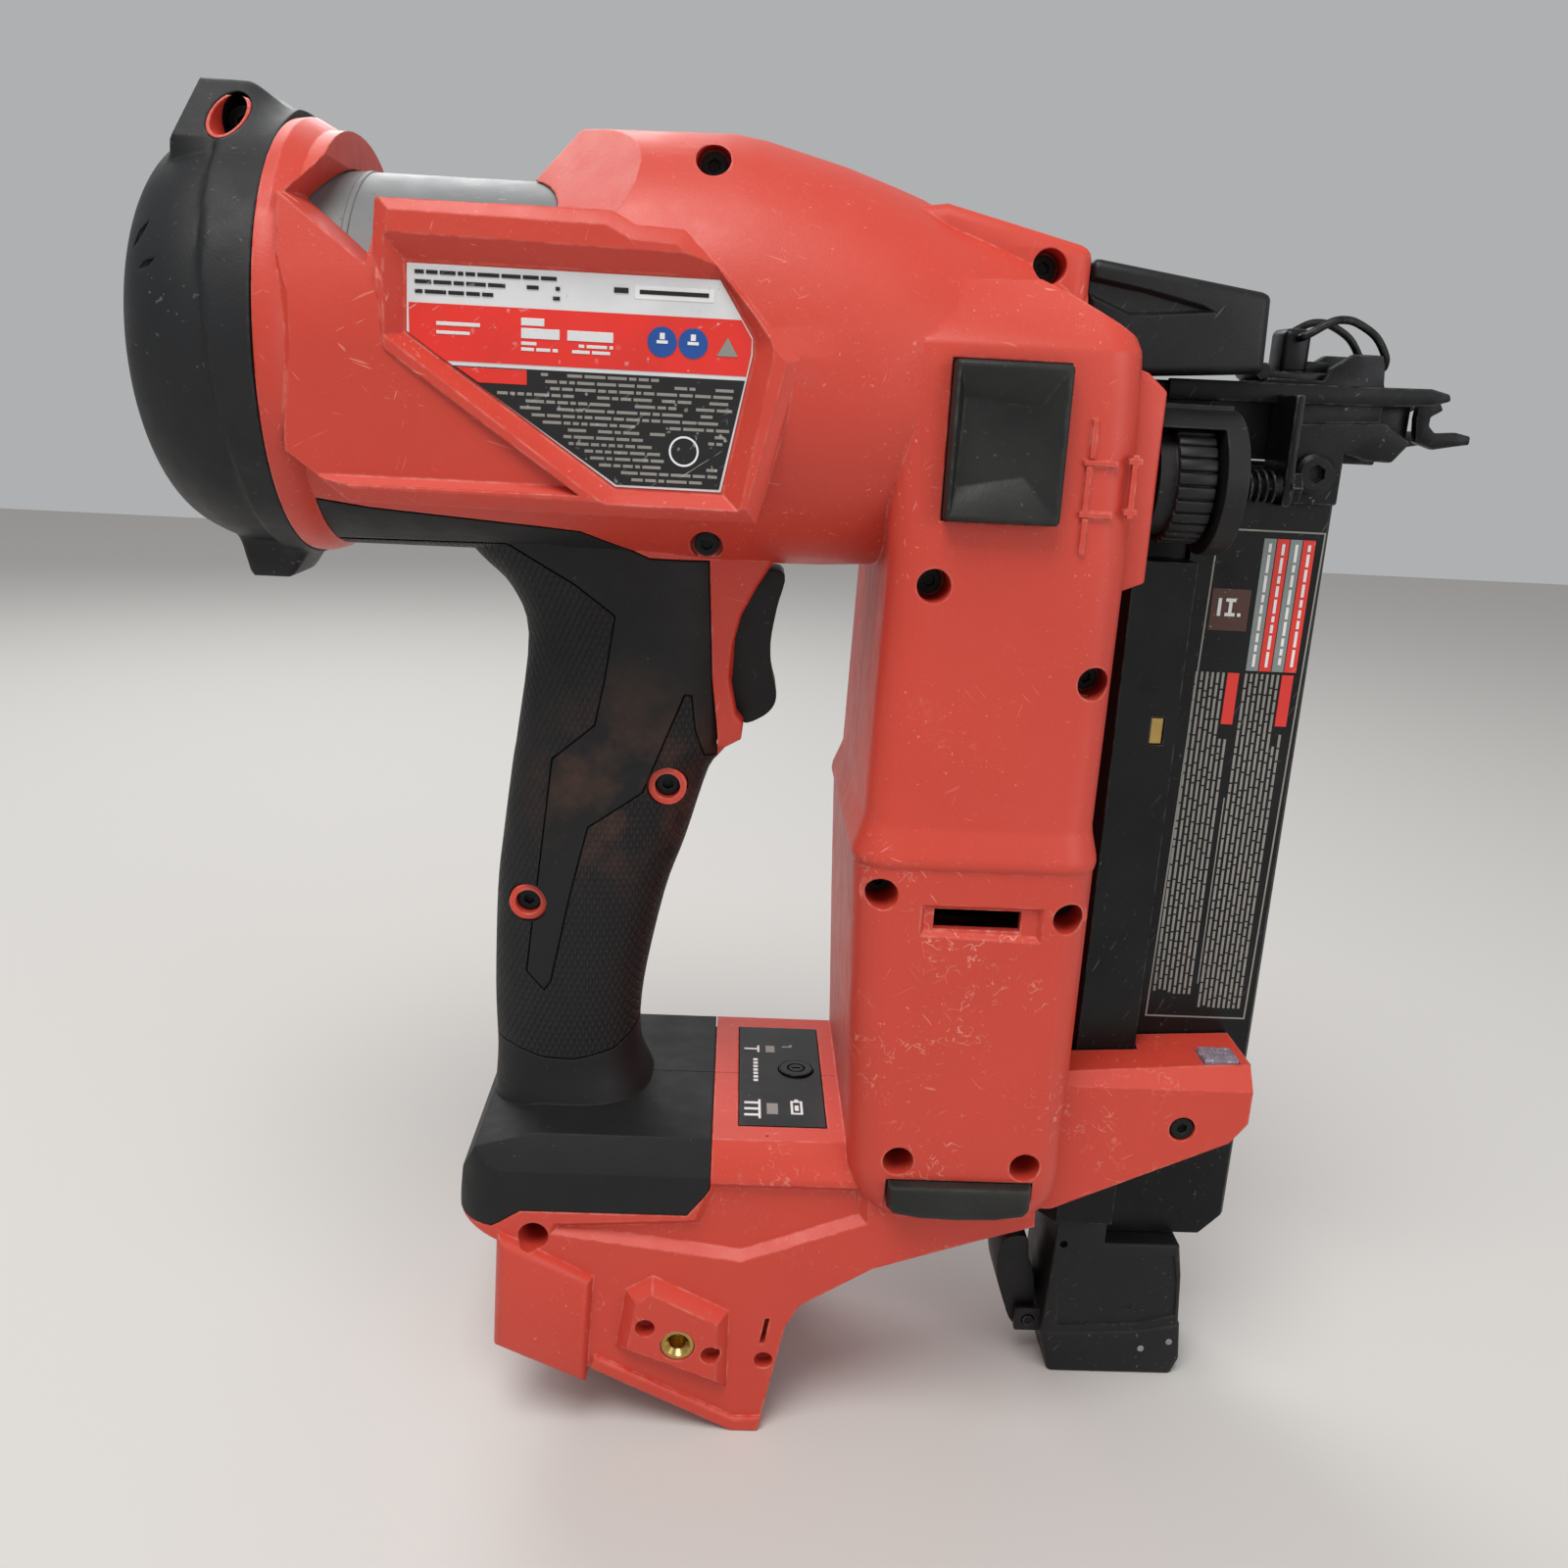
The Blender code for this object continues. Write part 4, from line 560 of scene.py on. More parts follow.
def label_pad(side):
    pad = side_loft("label_pad", [
        (side * 0.0300, grown(LABEL_PAD, 0.0009)), (side * 0.0430, grown(LABEL_PAD, 0.0007)),
        (side * 0.0436, grown(LABEL_PAD, 0.0001)), (side * PAD_HALF, grown(LABEL_PAD, -0.0022))])
    cross = [(side * y, z) for y, z in TROUGH_CROSS]
    trough = keep(plate("trough", cross, -0.1300, -0.0100, axis="X"),
                  plate("trough_side", TROUGH, -WIDE, WIDE))
    return cut(pad, trough)


def label_pocket(side):
    return side_loft("label_pocket", [
        (side * LABEL_Y, grown(LABEL, 0.0006)),
        (side * (PAD_HALF + 0.0006), grown(POCKET_EDGE, 0.0005))])


def window_cutter(side):
    return side_loft("window", [(side * -0.001, WINDOW_INNER), (side * 0.0300, WINDOW_INNER),
                                (side * 0.0450, WINDOW_OUTER), (side * 0.0600, WINDOW_OUTER)])


def oriented_block(place, normal, size):
    """A cube with the middle of one face at a place, standing out along a normal."""
    normal = Vector(normal).normalized()
    bm = bmesh.new()
    bmesh.ops.create_cube(bm, size=size)
    turn = Vector((0, 0, 1)).rotation_difference(normal).to_matrix().to_4x4()
    bm.transform(Matrix.Translation(Vector(place) + normal * size / 2) @ turn)
    return from_bmesh("block", bm)


def fin_facet(side):
    """Slanted flat between the tank window and the top of the barrel."""
    (x, y, z), (nx, ny, nz) = FIN_POINT, FIN_NORMAL
    low, high = on_side(side, -0.0200, 0.0600)
    return keep(oriented_block((x, side * y, z), (nx, side * ny, nz), 0.100),
                box("room", (-0.0755, low, 0.2822), (-0.0300, high, 0.3300)))


def foot_block(side):
    """Thicker block at the rear of the foot, with a sloped upper edge."""
    return side_loft("foot_block", [
        (side * 0.0300, grown(FOOT_BLOCK, 0.0014)), (side * 0.0382, grown(FOOT_BLOCK, 0.0012)),
        (side * 0.0396, grown(FOOT_BLOCK, 0.0006)), (side * 0.0404, grown(FOOT_BLOCK, -0.0002)),
        (side * 0.0408, grown(FOOT_BLOCK, -0.0014))])


def foot_facet(side):
    """Shallow sunk facet above the V-shaped ridge of the foot."""
    return side_loft("foot_facet", [
        (side * 0.0358, grown(FOOT_FACET, -0.0020)), (side * 0.0386, grown(FOOT_FACET, 0.0006))])


def foot_lip(side):
    return side_loft("foot_lip", [(side * 0.0300, FOOT_LIP), (side * 0.0388, FOOT_LIP),
                                  (side * 0.0392, grown(FOOT_LIP, -0.0006))])


def hook_pad(side):
    return side_loft("hook_pad", [
        (side * 0.0370, grown(HOOK_PAD, 0.0022)), (side * 0.0384, grown(HOOK_PAD, 0.0018)),
        (side * HOOK_PAD_HALF, grown(HOOK_PAD, -0.0008))])


def sloped(name, along_range, up_range, half):
    along = Vector((math.cos(BATTERY_TILT), -math.sin(BATTERY_TILT)))
    up = Vector((math.sin(BATTERY_TILT), math.cos(BATTERY_TILT)))
    start = Vector(BATTERY_START)
    corners = [start + along * a + up * u
               for a, u in ((along_range[0], up_range[0]), (along_range[1], up_range[0]),
                            (along_range[1], up_range[1]), (along_range[0], up_range[1]))]
    return plate(name, [tuple(corner) for corner in corners], -half, half)


def housing_hollows():
    tools = [rod("tank_bore", (0, AXIS_Z), -0.120, 0.004, TANK_R + GAP, 64, axis="X")]
    tools += [box("room", low, high) for low, high in ROOMS]
    for outline, half in ((UPPER_SPACE, UPPER_SPACE_HALF), (LOWER_SPACE, LOWER_SPACE_HALF)):
        tools.append(plate("column_space", outline, -half, half, bevel=0.003, segments=2))
    tools.append(sloped("terminal_slot", (0.0080, 0.0310), (0.0150, 0.0275), 0.0205))
    tools.append(sloped("rail_space", (0.002, 0.067), (0.004, 0.020), 0.031))
    tools.append(sloped("rail_gap", (0.002, 0.067), (-0.006, 0.0045), 0.026))
    rings = []
    for z, rear, front, half in HANDLE_SECTIONS[1:]:
        oval = superellipse((front - rear) / 2 - 0.0062, half - 0.0058, 2.5, 24)
        rings.append([((rear + front) / 2 + x, y, z) for x, y in oval])
    tools.append(loft("handle_space", rings))
    tools.append(rod("pin_bore", TRIGGER_PIVOT, -0.0098, 0.0098, 0.0018, 20))
    return tools


def vent(side):
    low, high = VENT
    near, far = on_side(side, 0.035, 0.050)
    slot = box("vent", (low[0], near, low[1]), (high[0], far, high[1]))
    recess = side_loft("vent_recess", [
        (side * 0.0418, grown(VENT_RECESS, -0.0008)), (side * 0.0440, grown(VENT_RECESS, 0.0010))])
    return [slot, recess]


def bumper_pockets(side):
    tools = []
    for low, high, seat in (UPPER_BUMPER, LOWER_BUMPER):
        near, far = on_side(side, seat - GAP, 0.050)
        tools.append(box("pocket", (low[0] - GAP, near, low[1] - GAP),
                         (high[0] + GAP, far, high[1] + GAP)))
    return tools


def foot_holes(side):
    """Holes of the hook's insert and its two blind holes, a slit and a notch."""
    tools = [rod("insert_bore", HOOK_POINT, side * 0.045, side * 0.0335, INSERT_BORE_R, 28)]
    tools += [rod("blind", place, side * 0.045, side * 0.0370, BLIND_R, 24)
              for place in HOOK_PAD_BLIND]
    near, far = on_side(side, 0.0340, 0.0450)
    tools.append(plate("slit", FOOT_SLIT, near, far))
    x, z, radius = FOOT_NOTCH
    tools.append(rod("notch", (x, z), near, far, radius, 24))
    return tools


def screw_posts():
    """Posts around the screws that would otherwise cross a hollow."""
    posts = []
    for name, x, z, _ in SCREWS:
        kind = name.split("_")[0]
        reach = POST_REACH.get(kind)
        if kind == "column" and z < COLUMN_SECTIONS[9][0]:
            reach = LOW_POST_REACH
        if name == "column_side":
            reach = SIDE_POST_REACH
        if kind == "grip":
            posts.append(rod("post", (x, z), -reach, 0.0080, GRIP_POST_R))
        elif reach:
            posts.append(rod("post", (x, z), -reach, reach, POST_R))
    return posts


def left_bores():
    """Bores of the left half: a wide one for each head and a narrow one for its thread."""
    tools = []
    for name, x, z, seat in SCREWS:
        radius = GRIP_BORE_R if name.startswith("grip") else SCREW_BORE_R
        tools.append(rod("bore", (x, z), -0.055, -seat, radius, 36))
        tools.append(rod("pilot", (x, z), -seat - 0.001, SCREW_END_Y, SCREW_PILOT_R, 16))
    tools.append(rod("arm_bore", ARM_SCREW, -0.032, -0.027, 0.0032, 28))
    tools.append(rod("arm_pilot", ARM_SCREW, -0.028, -0.0145, SCREW_PILOT_R, 16))
    tools.append(box("lens_pocket", *LENS_POCKET))
    return tools


def right_bores():
    return [rod("pilot", (x, z), -0.002, SCREW_END_Y, SCREW_PILOT_R, 16)
            for _, x, z, _ in SCREWS]


def pictogram(strokes, plane, height, width):
    """Raised ribs that follow short lines (X, Z) on the column's left side."""
    ribs = []
    for (x0, z0), (x1, z1) in strokes:
        along = (Vector((x1, z1)) - Vector((x0, z0))).normalized() * width / 2
        across = Vector((-along.y, along.x))
        corners = [Vector((x0, z0)) - along + across, Vector((x0, z0)) - along - across,
                   Vector((x1, z1)) + along - across, Vector((x1, z1)) + along + across]
        ribs.append(plate("rib", [tuple(c) for c in corners], plane - height, plane + 0.001))
    return ribs


PICTOGRAMS = mm(             # two nail signs and a two-headed arrow
    ((53.2, 247.8), (53.2, 241.2)), ((52.2, 239.8), (58, 239.8)), ((52.8, 238.5), (52.8, 230.6)),
    ((52.2, 229.4), (58, 229.4)), ((53, 228), (53, 221.8)), ((62.2, 241.2), (62.2, 229.6)),
    ((61.4, 240.5), (63, 240.5)), ((61.4, 230.3), (63, 230.3)))


def housing_full():
    """Both halves in one solid: outer shape, less the grips' room and all hollows, plus posts."""
    outer = union(barrel(), plate("hood", HOOD, -HOOD_HALF, HOOD_HALF, bevel=0.003),
                  *both_sides(label_pad), handle(), foot(), *both_sides(foot_block),
                  *both_sides(foot_lip), column(), *arms(), *both_sides(hook_pad),
                  plate("trigger_guard", TRIGGER_GUARD, -GUARD_HALF, GUARD_HALF, bevel=0.0020))
    area = plate("grip_area", grown(GRIP_AREA, GAP), -WIDE, WIDE)
    room = cut(area, barrel(SKIN + GAP), handle(SKIN + GAP), foot(SKIN + GAP))
    shaped = cut(outer, room)
    shaped = cut(shaped, *both_sides(window_cutter), *both_sides(label_pocket),
                 *both_sides(foot_facet))
    shaped = cut(shaped, *both_sides(fin_facet))
    tools = housing_hollows()
    for side in (-1, 1):
        tools += vent(side) + bumper_pockets(side) + foot_holes(side)
    tools.append(rod("pinhole", PANEL_PINHOLE, 0.0770, 0.0800, 0.0005, 12, axis="Z"))
    return union(cut(shaped, *tools), *screw_posts())


def half(full, side):
    low, high = ((-0.1, -GAP / 2), (GAP / 2, 0.1))[side > 0]
    room = box("room", (-0.2, low, -0.1), (0.2, high, 0.4))
    return keep(copy_of(full, "half"), room)


def build_housing():
    full = housing_full()
    left = cut(half(full, -1), *left_bores())
    left = union(left, *pictogram(PICTOGRAMS, -0.0415, 0.0007, 0.0012))
    show(left, "left_housing_shell", "red_plastic", replaces="left_housing")
    right = cut(half(full, 1), *right_bores())
    show(right, "right_housing_shell", "red_plastic", replaces="right_housing")
    bpy.data.objects.remove(full, do_unlink=True)


def ease(value, low, high):
    """0 below low, 1 above high and a smooth rise between."""
    share = min(max((value - low) / (high - low), 0.0), 1.0)
    return share * share * (3 - 2 * share)


def smooth_outline(outline, steps=6):
    """A closed outline as a smooth curve through its points."""
    points = []
    count = len(outline)
    for index in range(count):
        a, b, c, d = (Vector(outline[(index + k) % count]) for k in (-1, 0, 1, 2))
        for step in range(steps):
            t = step / steps
            points.append(tuple(0.5 * (2 * b + (c - a) * t + (2 * a - 5 * b + 4 * c - d) * t * t
                                       + (3 * b - a - 3 * c + d) * t ** 3)))
    return points


def turned(name, profile, centre, sides=96):
    """A closed profile (radius, X) turned about an axis along X through centre (Y, Z)."""
    rings = [[(x, centre[0] + r * math.cos(turn), centre[1] + r * math.sin(turn))
              for turn in (2 * math.pi * k / sides for k in range(sides))]
             for r, x in profile]
    return loft(name, rings)


def tiles(name, rects, low, high, axis="Y"):
    """Thin blocks (u0, v0, u1, v1) in one mesh, between two planes across an axis."""
    bm = bmesh.new()
    for u0, v0, u1, v1 in rects:
        if axis == "Y":
            near, far = Vector((u0, low, v0)), Vector((u1, high, v1))
        else:
            near, far = Vector((u0, v0, low)), Vector((u1, v1, high))
        made = bmesh.ops.create_cube(bm, size=1.0)["verts"]
        bmesh.ops.scale(bm, vec=far - near, verts=made)
        bmesh.ops.translate(bm, vec=(near + far) / 2, verts=made)
    return from_bmesh(name, bm)


def joined(name, parts):
    """Several closed shapes in one mesh, without a union."""
    bm = bmesh.new()
    for part in parts:
        bm.from_mesh(part.data)
        bpy.data.objects.remove(part, do_unlink=True)
    return from_bmesh(name, bm)


# ---------------------------------------------------------------- grips
PANEL_DEPTH = 0.0008         # how deep the textured panels are let in
GROOVE = 0.0004


def build_grips():
    """Smooth overmould with let-in textured panels, for each half."""
    area = plate("grip_area", GRIP_AREA, -WIDE, WIDE)
    outer = keep(union(barrel(), handle(), foot(roundness=0.0045)), area)
    panel = keep(copy_of(outer, "panel"), plate("texture", GRIP_TEXTURE, -WIDE, WIDE))
    panel = cut(panel, barrel(PANEL_DEPTH), handle(PANEL_DEPTH), foot(PANEL_DEPTH))
    deep = PANEL_DEPTH + 0.0001
    recess = cut(plate("recess", grown(GRIP_TEXTURE, GROOVE), -WIDE, WIDE),
                 barrel(deep), handle(deep), foot(deep))
    base = cut(outer, barrel(SKIN), handle(SKIN), foot(SKIN), recess)
    for side, word in SIDES:
        for full, kind, look in ((base, "grip_base", "grip_rubber"),
                                 (panel, "grip_panel", "grip_lattice")):
            shape = half(full, side)
            if side < 0:
                shape = cut(shape, *[rod("ring", (x, z), -0.030, -0.005, GRIP_POST_R + GAP, 32)
                                     for name, x, z, _ in SCREWS if name.startswith("grip")])
            show(shape, f"{word}_{kind}", look,
                 replaces=f"{word}_grip" if kind == "grip_base" else None)
    bpy.data.objects.remove(base, do_unlink=True)
    bpy.data.objects.remove(panel, do_unlink=True)


# ---------------------------------------------------------------- rear cap
CAP_REAR_X = -0.1475
CAP_FRONT_X = -0.1133
CAP_R = 0.046
CAP_BOWL = 0.028             # length of the rounded part
CAP_STEPS = 46
CAP_CREASE_X = -0.1215       # the front band stands out in front of this crease
CAP_CREASE_DROP = 0.0016
CAP_CAVITY = mm((42.5, -100), (42.5, -124), (37.5, -131), (2, -132.5))   # radius, X
EAR_REACH = 0.0515           # from the axis to the flat end of each ear
EAR_SIDE = 0.04608           # and to each slanted side of the upper ear
EAR_SLANT = math.radians(51.9)
EAR_HOLE = mm(-124.2, 298.5)
EAR_HOLE_HALF = mm(4, 5.6)
CAP_SLASHES = mm(((-138.6, 271), (-134.8, 276.6)), ((-136.9, 266.8), (-132.5, 269.2)))


def cap_radius(x, turn):
    """Distance of the cap's surface from its axis: bowl, front band and two ears."""
    share = min((x - CAP_REAR_X) / CAP_BOWL, 1.0)
    radius = CAP_R * (1 - (1 - share) ** 3) ** 0.42
    up = math.sin(turn)
    crease = CAP_CREASE_X - 0.0027 * up
    radius -= CAP_CREASE_DROP * ease(crease - x, 0.0, 0.0014) * (1 - ease(-x, 0.1320, 0.1430))
    if up > math.sin(EAR_SLANT):
        along = ease(x, -0.1352, -0.1332) * (1 - 0.8 * ease(x, -0.1240, -0.1140))
        slanted = EAR_SIDE / math.cos(math.asin(min(up, 1.0)) - EAR_SLANT)
        return radius + (min(EAR_REACH / up, slanted) - radius) * along
    if up < -0.5:
        along = ease(x, -0.1310, -0.1275) * (1 - ease(x, -0.1200, -0.1140))
        aside = abs(radius * math.cos(turn))
        return radius + (EAR_REACH / -up - radius) * along * (1 - ease(aside, 0.0070, 0.0108))
    return radius


def cap_angles():
    fine, coarse = [], []
    for middle in (90, 270):
        fine += [middle - 16 + 0.8 * k for k in range(41)]
    for start in (106, 286):
        coarse += [start + 3.7 * k for k in range(1, 40)]
    return sorted(math.radians(angle) for angle in fine + coarse)


def ear_hole(growth):
    """Oval screw hole in the upper ear, as an outline (X, Z)."""
    (x, z), (half_x, half_z) = EAR_HOLE, EAR_HOLE_HALF
    return [(x + u, z + v) for u, v in superellipse(half_x + growth, half_z + growth, 2.0, 48)]


def cap_solid():
    """The cap's outer surface as rings from its rear tip to its front edge."""
    angles = cap_angles()
    rings = []
    for k in range(CAP_STEPS + 1):
        x = CAP_REAR_X + (CAP_FRONT_X - CAP_REAR_X) * (k / CAP_STEPS) ** 1.25
        radii = [cap_radius(max(x, CAP_REAR_X + 0.00002), turn) for turn in angles]
        rings.append([(x, radius * math.cos(turn), AXIS_Z + radius * math.sin(turn))
                      for radius, turn in zip(radii, angles)])
    return loft("cap", rings)


def cap_slashes():
    """Slender sunk slashes on both sides of the cap."""
    tools = []
    for (x0, z0), (x1, z1) in CAP_SLASHES:
        along = Vector((x1 - x0, z1 - z0))
        across = Vector((-along.y, along.x)).normalized() * 0.0007
        middle = Vector((x0 + x1, z0 + z1)) / 2
        corners = [Vector((x0, z0)), middle - across, Vector((x1, z1)), middle + across]
        radius = cap_radius(middle.x, math.asin((middle.y - AXIS_Z) / 0.045))
        depth = math.sqrt(radius ** 2 - (middle.y - AXIS_Z) ** 2) - 0.0009
        for side in (-1, 1):
            low, high = on_side(side, depth, 0.050)
            tools.append(plate("slash", [tuple(corner) for corner in corners], low, high))
    return tools


def build_rear_cap():
    """Domed cap with two ears, and its screw in a red well in the upper one."""
    outer = cap_solid()
    liner = keep(plate("liner", ear_hole(-0.0002), -0.0300, -0.0140), copy_of(outer, "outer"))
    liner = cut(liner, plate("hole", ear_hole(-0.0008), -0.0400, -0.0100))
    tools = [turned("cavity", CAP_CAVITY, (0.0, AXIS_Z)),
             plate("hole", ear_hole(0.0), -0.0300, -0.0045),
             rod("far_hole", EAR_HOLE, 0.0300, 0.0070, EAR_HOLE_HALF[0] - 0.0010, 40)]
    show(cut(outer, *tools, *cap_slashes()), "rear_cap_shell", "cap_plastic", replaces="rear_cap")
    show(liner, "cap_screw_well", "red_plastic")
    head = rod("head", EAR_HOLE, -0.0100, -0.0060, 0.0034, 32)
    socket = rod("socket", EAR_HOLE, -0.0110, -0.0080, 0.0017, 6)
    show(cut(head, socket), "cap_screw", "dark_steel")


# ---------------------------------------------------------------- bumpers
UPPER_DISH = mm((26.2, 251.5), (41.5, 249.8), (39.5, 236.2), (25.6, 233.5))
LOWER_PAD = mm((23.4, 74.5), (23.4, 68.4), (24.8, 66.8), (31, 65.7), (40, 65.4), (49, 65.7),
    (55.6, 66.8), (57, 68.4), (57, 74.5))


def build_bumpers():
    for side, word in SIDES:
        (low_x, low_z), (high_x, high_z), seat = UPPER_BUMPER
        frame_outline = ((low_x, high_z), (high_x, high_z), (high_x, low_z), (low_x, low_z))
        near, far = on_side(side, seat, BUMPER_HALF)
        pad = box("pad", (low_x, near, low_z), (high_x, far, high_z), 0.0010, 3)
        dish = side_loft("dish", [
            (side * (BUMPER_HALF + 0.0002), grown(frame_outline, -0.0008)),
            (side * (BUMPER_HALF - 0.0040), UPPER_DISH)])
        show(cut(pad, dish), f"{word}_upper_pad", "bumper_rubber", replaces=f"{word}_upper_bumper")
        seat = LOWER_BUMPER[2]
        low_pad = side_loft("pad", [
            (side * seat, LOWER_PAD), (side * (BUMPER_HALF - 0.0018), LOWER_PAD),
            (side * (BUMPER_HALF - 0.0006), grown(LOWER_PAD, -0.0006)),
            (side * BUMPER_HALF, grown(LOWER_PAD, -0.0018))])
        show(low_pad, f"{word}_lower_pad", "bumper_rubber", replaces=f"{word}_lower_bumper")


# ---------------------------------------------------------------- labels and key panel
FILM = 0.0001                # thickness of each printed layer
LABEL_RED = mm((-83.8, 263.6), (-19, 263.6), (-16.8, 260.2), (-16.8, 257.3), (-17.6, 253),
    (-76.8, 253), (-83.8, 257.8))
LABEL_BLACK = mm((-75.6, 252.2), (-17.8, 252.2), (-22.2, 230.7), (-42.9, 230.7))
OVERLAP = 0.00002            # how far a layer reaches into the one below
LABEL_BACK = -(LABEL_Y + 0.00005)
LABEL_FACE = LABEL_BACK - 0.0002
LABEL_TOP = LABEL_FACE - FILM
LABEL_FIELDS = (             # name, outline, look, number of the layer
    ("label_red_band", LABEL_RED, "label_red", 1),
    ("label_black_field", LABEL_BLACK, "label_black", 1),
    ("label_warning", mm((-74.8, 252), (-60.9, 252), (-60.9, 249.2), (-70.4, 249.2)),
     "label_red", 2),
    ("label_number_box", mm((-40, 269), (-24.5, 269), (-24.5, 266.5), (-40, 266.5)),
     "label_white", 1),
)
LABEL_TRIANGLE = mm((-23.6, 256.6), (-19.4, 256.6), (-21.5, 260.2))
DARK_BARS = mm((-44, 267.4, -41.2, 268.4), (-39, 267.4, -25.5, 268.2))
PALE_BARS = mm((-78.5, 259.6, -70, 260.3), (-78.5, 258, -72, 258.6),
               (-62, 260.4, -57.5, 261.8), (-62, 258, -54.5, 259.9), (-53, 258, -44, 259.9))
PRINT_FREE = mm((-76.5, 248.8, -60, 253), (-33.2, 234.2, -25.8, 241.6))
LABEL_DISCS = mm((-34.4, 258.7), (-28.3, 258.7))
LABEL_RING = mm(-29.5, 237.9)


def text_bars(area, line_height, fill, seed, lead=0.55):
    """Generic bars in lines that fill a box (u0, v0, u1, v1), as on small print."""
    shuffle = random.Random(seed)
    u0, v0, u1, v1 = area
    bars = []
    v = v1 - line_height
    while v > v0:
        u = u0
        while u < u1:
            length = min(shuffle.uniform(0.0010, 0.0042), u1 - u)
            if shuffle.random() < fill and length > 0.0006:
                bars.append((u, v + line_height * (1 - lead) / 2, u + length,
                             v + line_height * (1 + lead) / 2))
            u += length + 0.00045
        v -= line_height
    return bars


def inside(point, outline):
    hit = False
    for (x0, z0), (x1, z1) in zip(outline, outline[1:] + outline[:1]):
        if (z0 > point[1]) != (z1 > point[1]):
            if point[0] < (x1 - x0) * (point[1] - z0) / (z1 - z0) + x0:
                hit = not hit
    return hit


def within(bars, outline):
    return [bar for bar in bars if all(inside(corner, outline) for corner in
                                       ((bar[0], bar[1]), (bar[2], bar[3]), (bar[0], bar[3]),
                                        (bar[2], bar[1])))]


def overlaps(bar, area):
    return bar[2] > area[0] and bar[0] < area[2] and bar[3] > area[1] and bar[1] < area[3]


def label_field(name, outline, look, level):
    """Printed field in the first or the second layer."""
    low, high = LABEL_FACE - FILM * level, LABEL_FACE - FILM * (level - 1) + OVERLAP
    show(plate(name, outline, low, high), name, look)


def build_side_label():
    """Printed film in the left side's pocket, with its plain fields."""
    show(plate("label_base", LABEL, LABEL_FACE, LABEL_BACK), "label_base", "label_silver")
    for row in LABEL_FIELDS:
        label_field(*row)


def build_label_bars():
    """Generic bars in place of the label's text."""
    dark = text_bars(mm(-82.5, 264.6, -54.5, 270.2), 0.0018, 0.9, 3, 0.40) + list(DARK_BARS)
    show(tiles("bars", dark, LABEL_TOP - FILM, LABEL_FACE + OVERLAP), "label_dark_bars",
         "label_black")
    pale = list(PALE_BARS) + text_bars(mm(-62, 255, -44, 257.6), 0.0011, 0.85, 5)
    show(tiles("bars", pale, LABEL_TOP - FILM, LABEL_TOP + OVERLAP), "label_red_bars",
         "label_silver")
    small = text_bars(mm(-75, 231.2, -18, 252), 0.0013, 0.90, 7, 0.45)
    small = [bar for bar in within(small, grown(LABEL_BLACK, -0.0006))
             if not any(overlaps(bar, area) for area in PRINT_FREE)]
    show(tiles("bars", small, LABEL_TOP - FILM * 0.6, LABEL_TOP + OVERLAP), "label_small_print",
         "label_print")


def build_label_signs():
    """Two discs with a plain sign each, a triangle and a ring."""
    low, high = LABEL_FACE - FILM * 2, LABEL_FACE + OVERLAP
    for index, (x, z) in enumerate(LABEL_DISCS):
        show(rod("disc", (x, z), high, low, 0.0029, 40), f"label_blue_disc_{index + 1}",
             "label_blue")
        mark = [(x - 0.0011, 0.2584, x + 0.0011, 0.2590), (x - 0.0005, 0.2592, x + 0.0005, 0.2604)]
        show(tiles("mark", mark, LABEL_FACE - FILM * 3, low + OVERLAP),
             f"label_disc_mark_{index + 1}", "label_white")
    label_field("label_triangle", LABEL_TRIANGLE, "label_print", 2)
    ring = cut(rod("ring", LABEL_RING, high, low, 0.0030, 40),
               rod("hole", LABEL_RING, LABEL_FACE + 0.001, LABEL_FACE - 0.001, 0.0026, 40))
    show(ring, "label_ring", "label_white")


MAGAZINE_FRAME = mm((90.5, 102.6), (92.5, 225.5), (117.8, 225.5), (116.2, 102.6))
BROWN_BLOCK = mm(93.2, 201.8, 102.3, 211.6)
STRIPES = mm((103.6, 106.7, "label_grey"), (106.7, 109.8, "label_red"),
    (109.8, 112.8, "label_grey"), (112.8, 115.9, "label_red"))


MAGAZINE_MARKS = mm((94.8, 205.2, 95.6, 209.4), (96.6, 205.2, 99, 206),
                    (96.6, 208.6, 99, 209.4), (97.4, 206, 98.2, 208.6),
                    (99.6, 205.2, 100.4, 206))
MAGAZINE_HEADS = mm((99.4, 179.3, 102.2, 191.8), (112.5, 179.3, 115.3, 191.8))
MAGAZINE_DIVIDER = mm(102.7, 112, 103, 161)
MAGAZINE_COLUMNS = mm((91.7, 102.2, 109, 191.8), (103.6, 115.2, 105.5, 191.8))


def column_bars(shuffle):
    """Upright bars in two fields (left, right, bottom, top), clear of the red heads."""
    bars = []
    for left, right, bottom, top in MAGAZINE_COLUMNS:
        u = left
        while u < right - 0.0006:
            v = top
            while v > bottom:
                length = min(shuffle.uniform(0.0012, 0.0050), v - bottom)
                lead = 0.0004 + (0.0040 if v == top and u > right - 0.0030 else 0.0)
                if length > 0.0007 and not (v > 0.1790 and u > right - 0.0032):
                    bars.append((u, v - length, u + 0.00062, v))
                v -= length + lead
            u += 0.00128
    return bars


def stripe_bars(shuffle):
    """Upright bars on the colour stripes."""
    bars = []
    for left, _, _ in STRIPES:
        v = 0.2225
        while v > 0.1950:
            length = shuffle.uniform(0.0014, 0.0042)
            bars.append((left + 0.0012, max(v - length, 0.1935), left + 0.0019, v))
            v -= length + 0.0006
    return bars


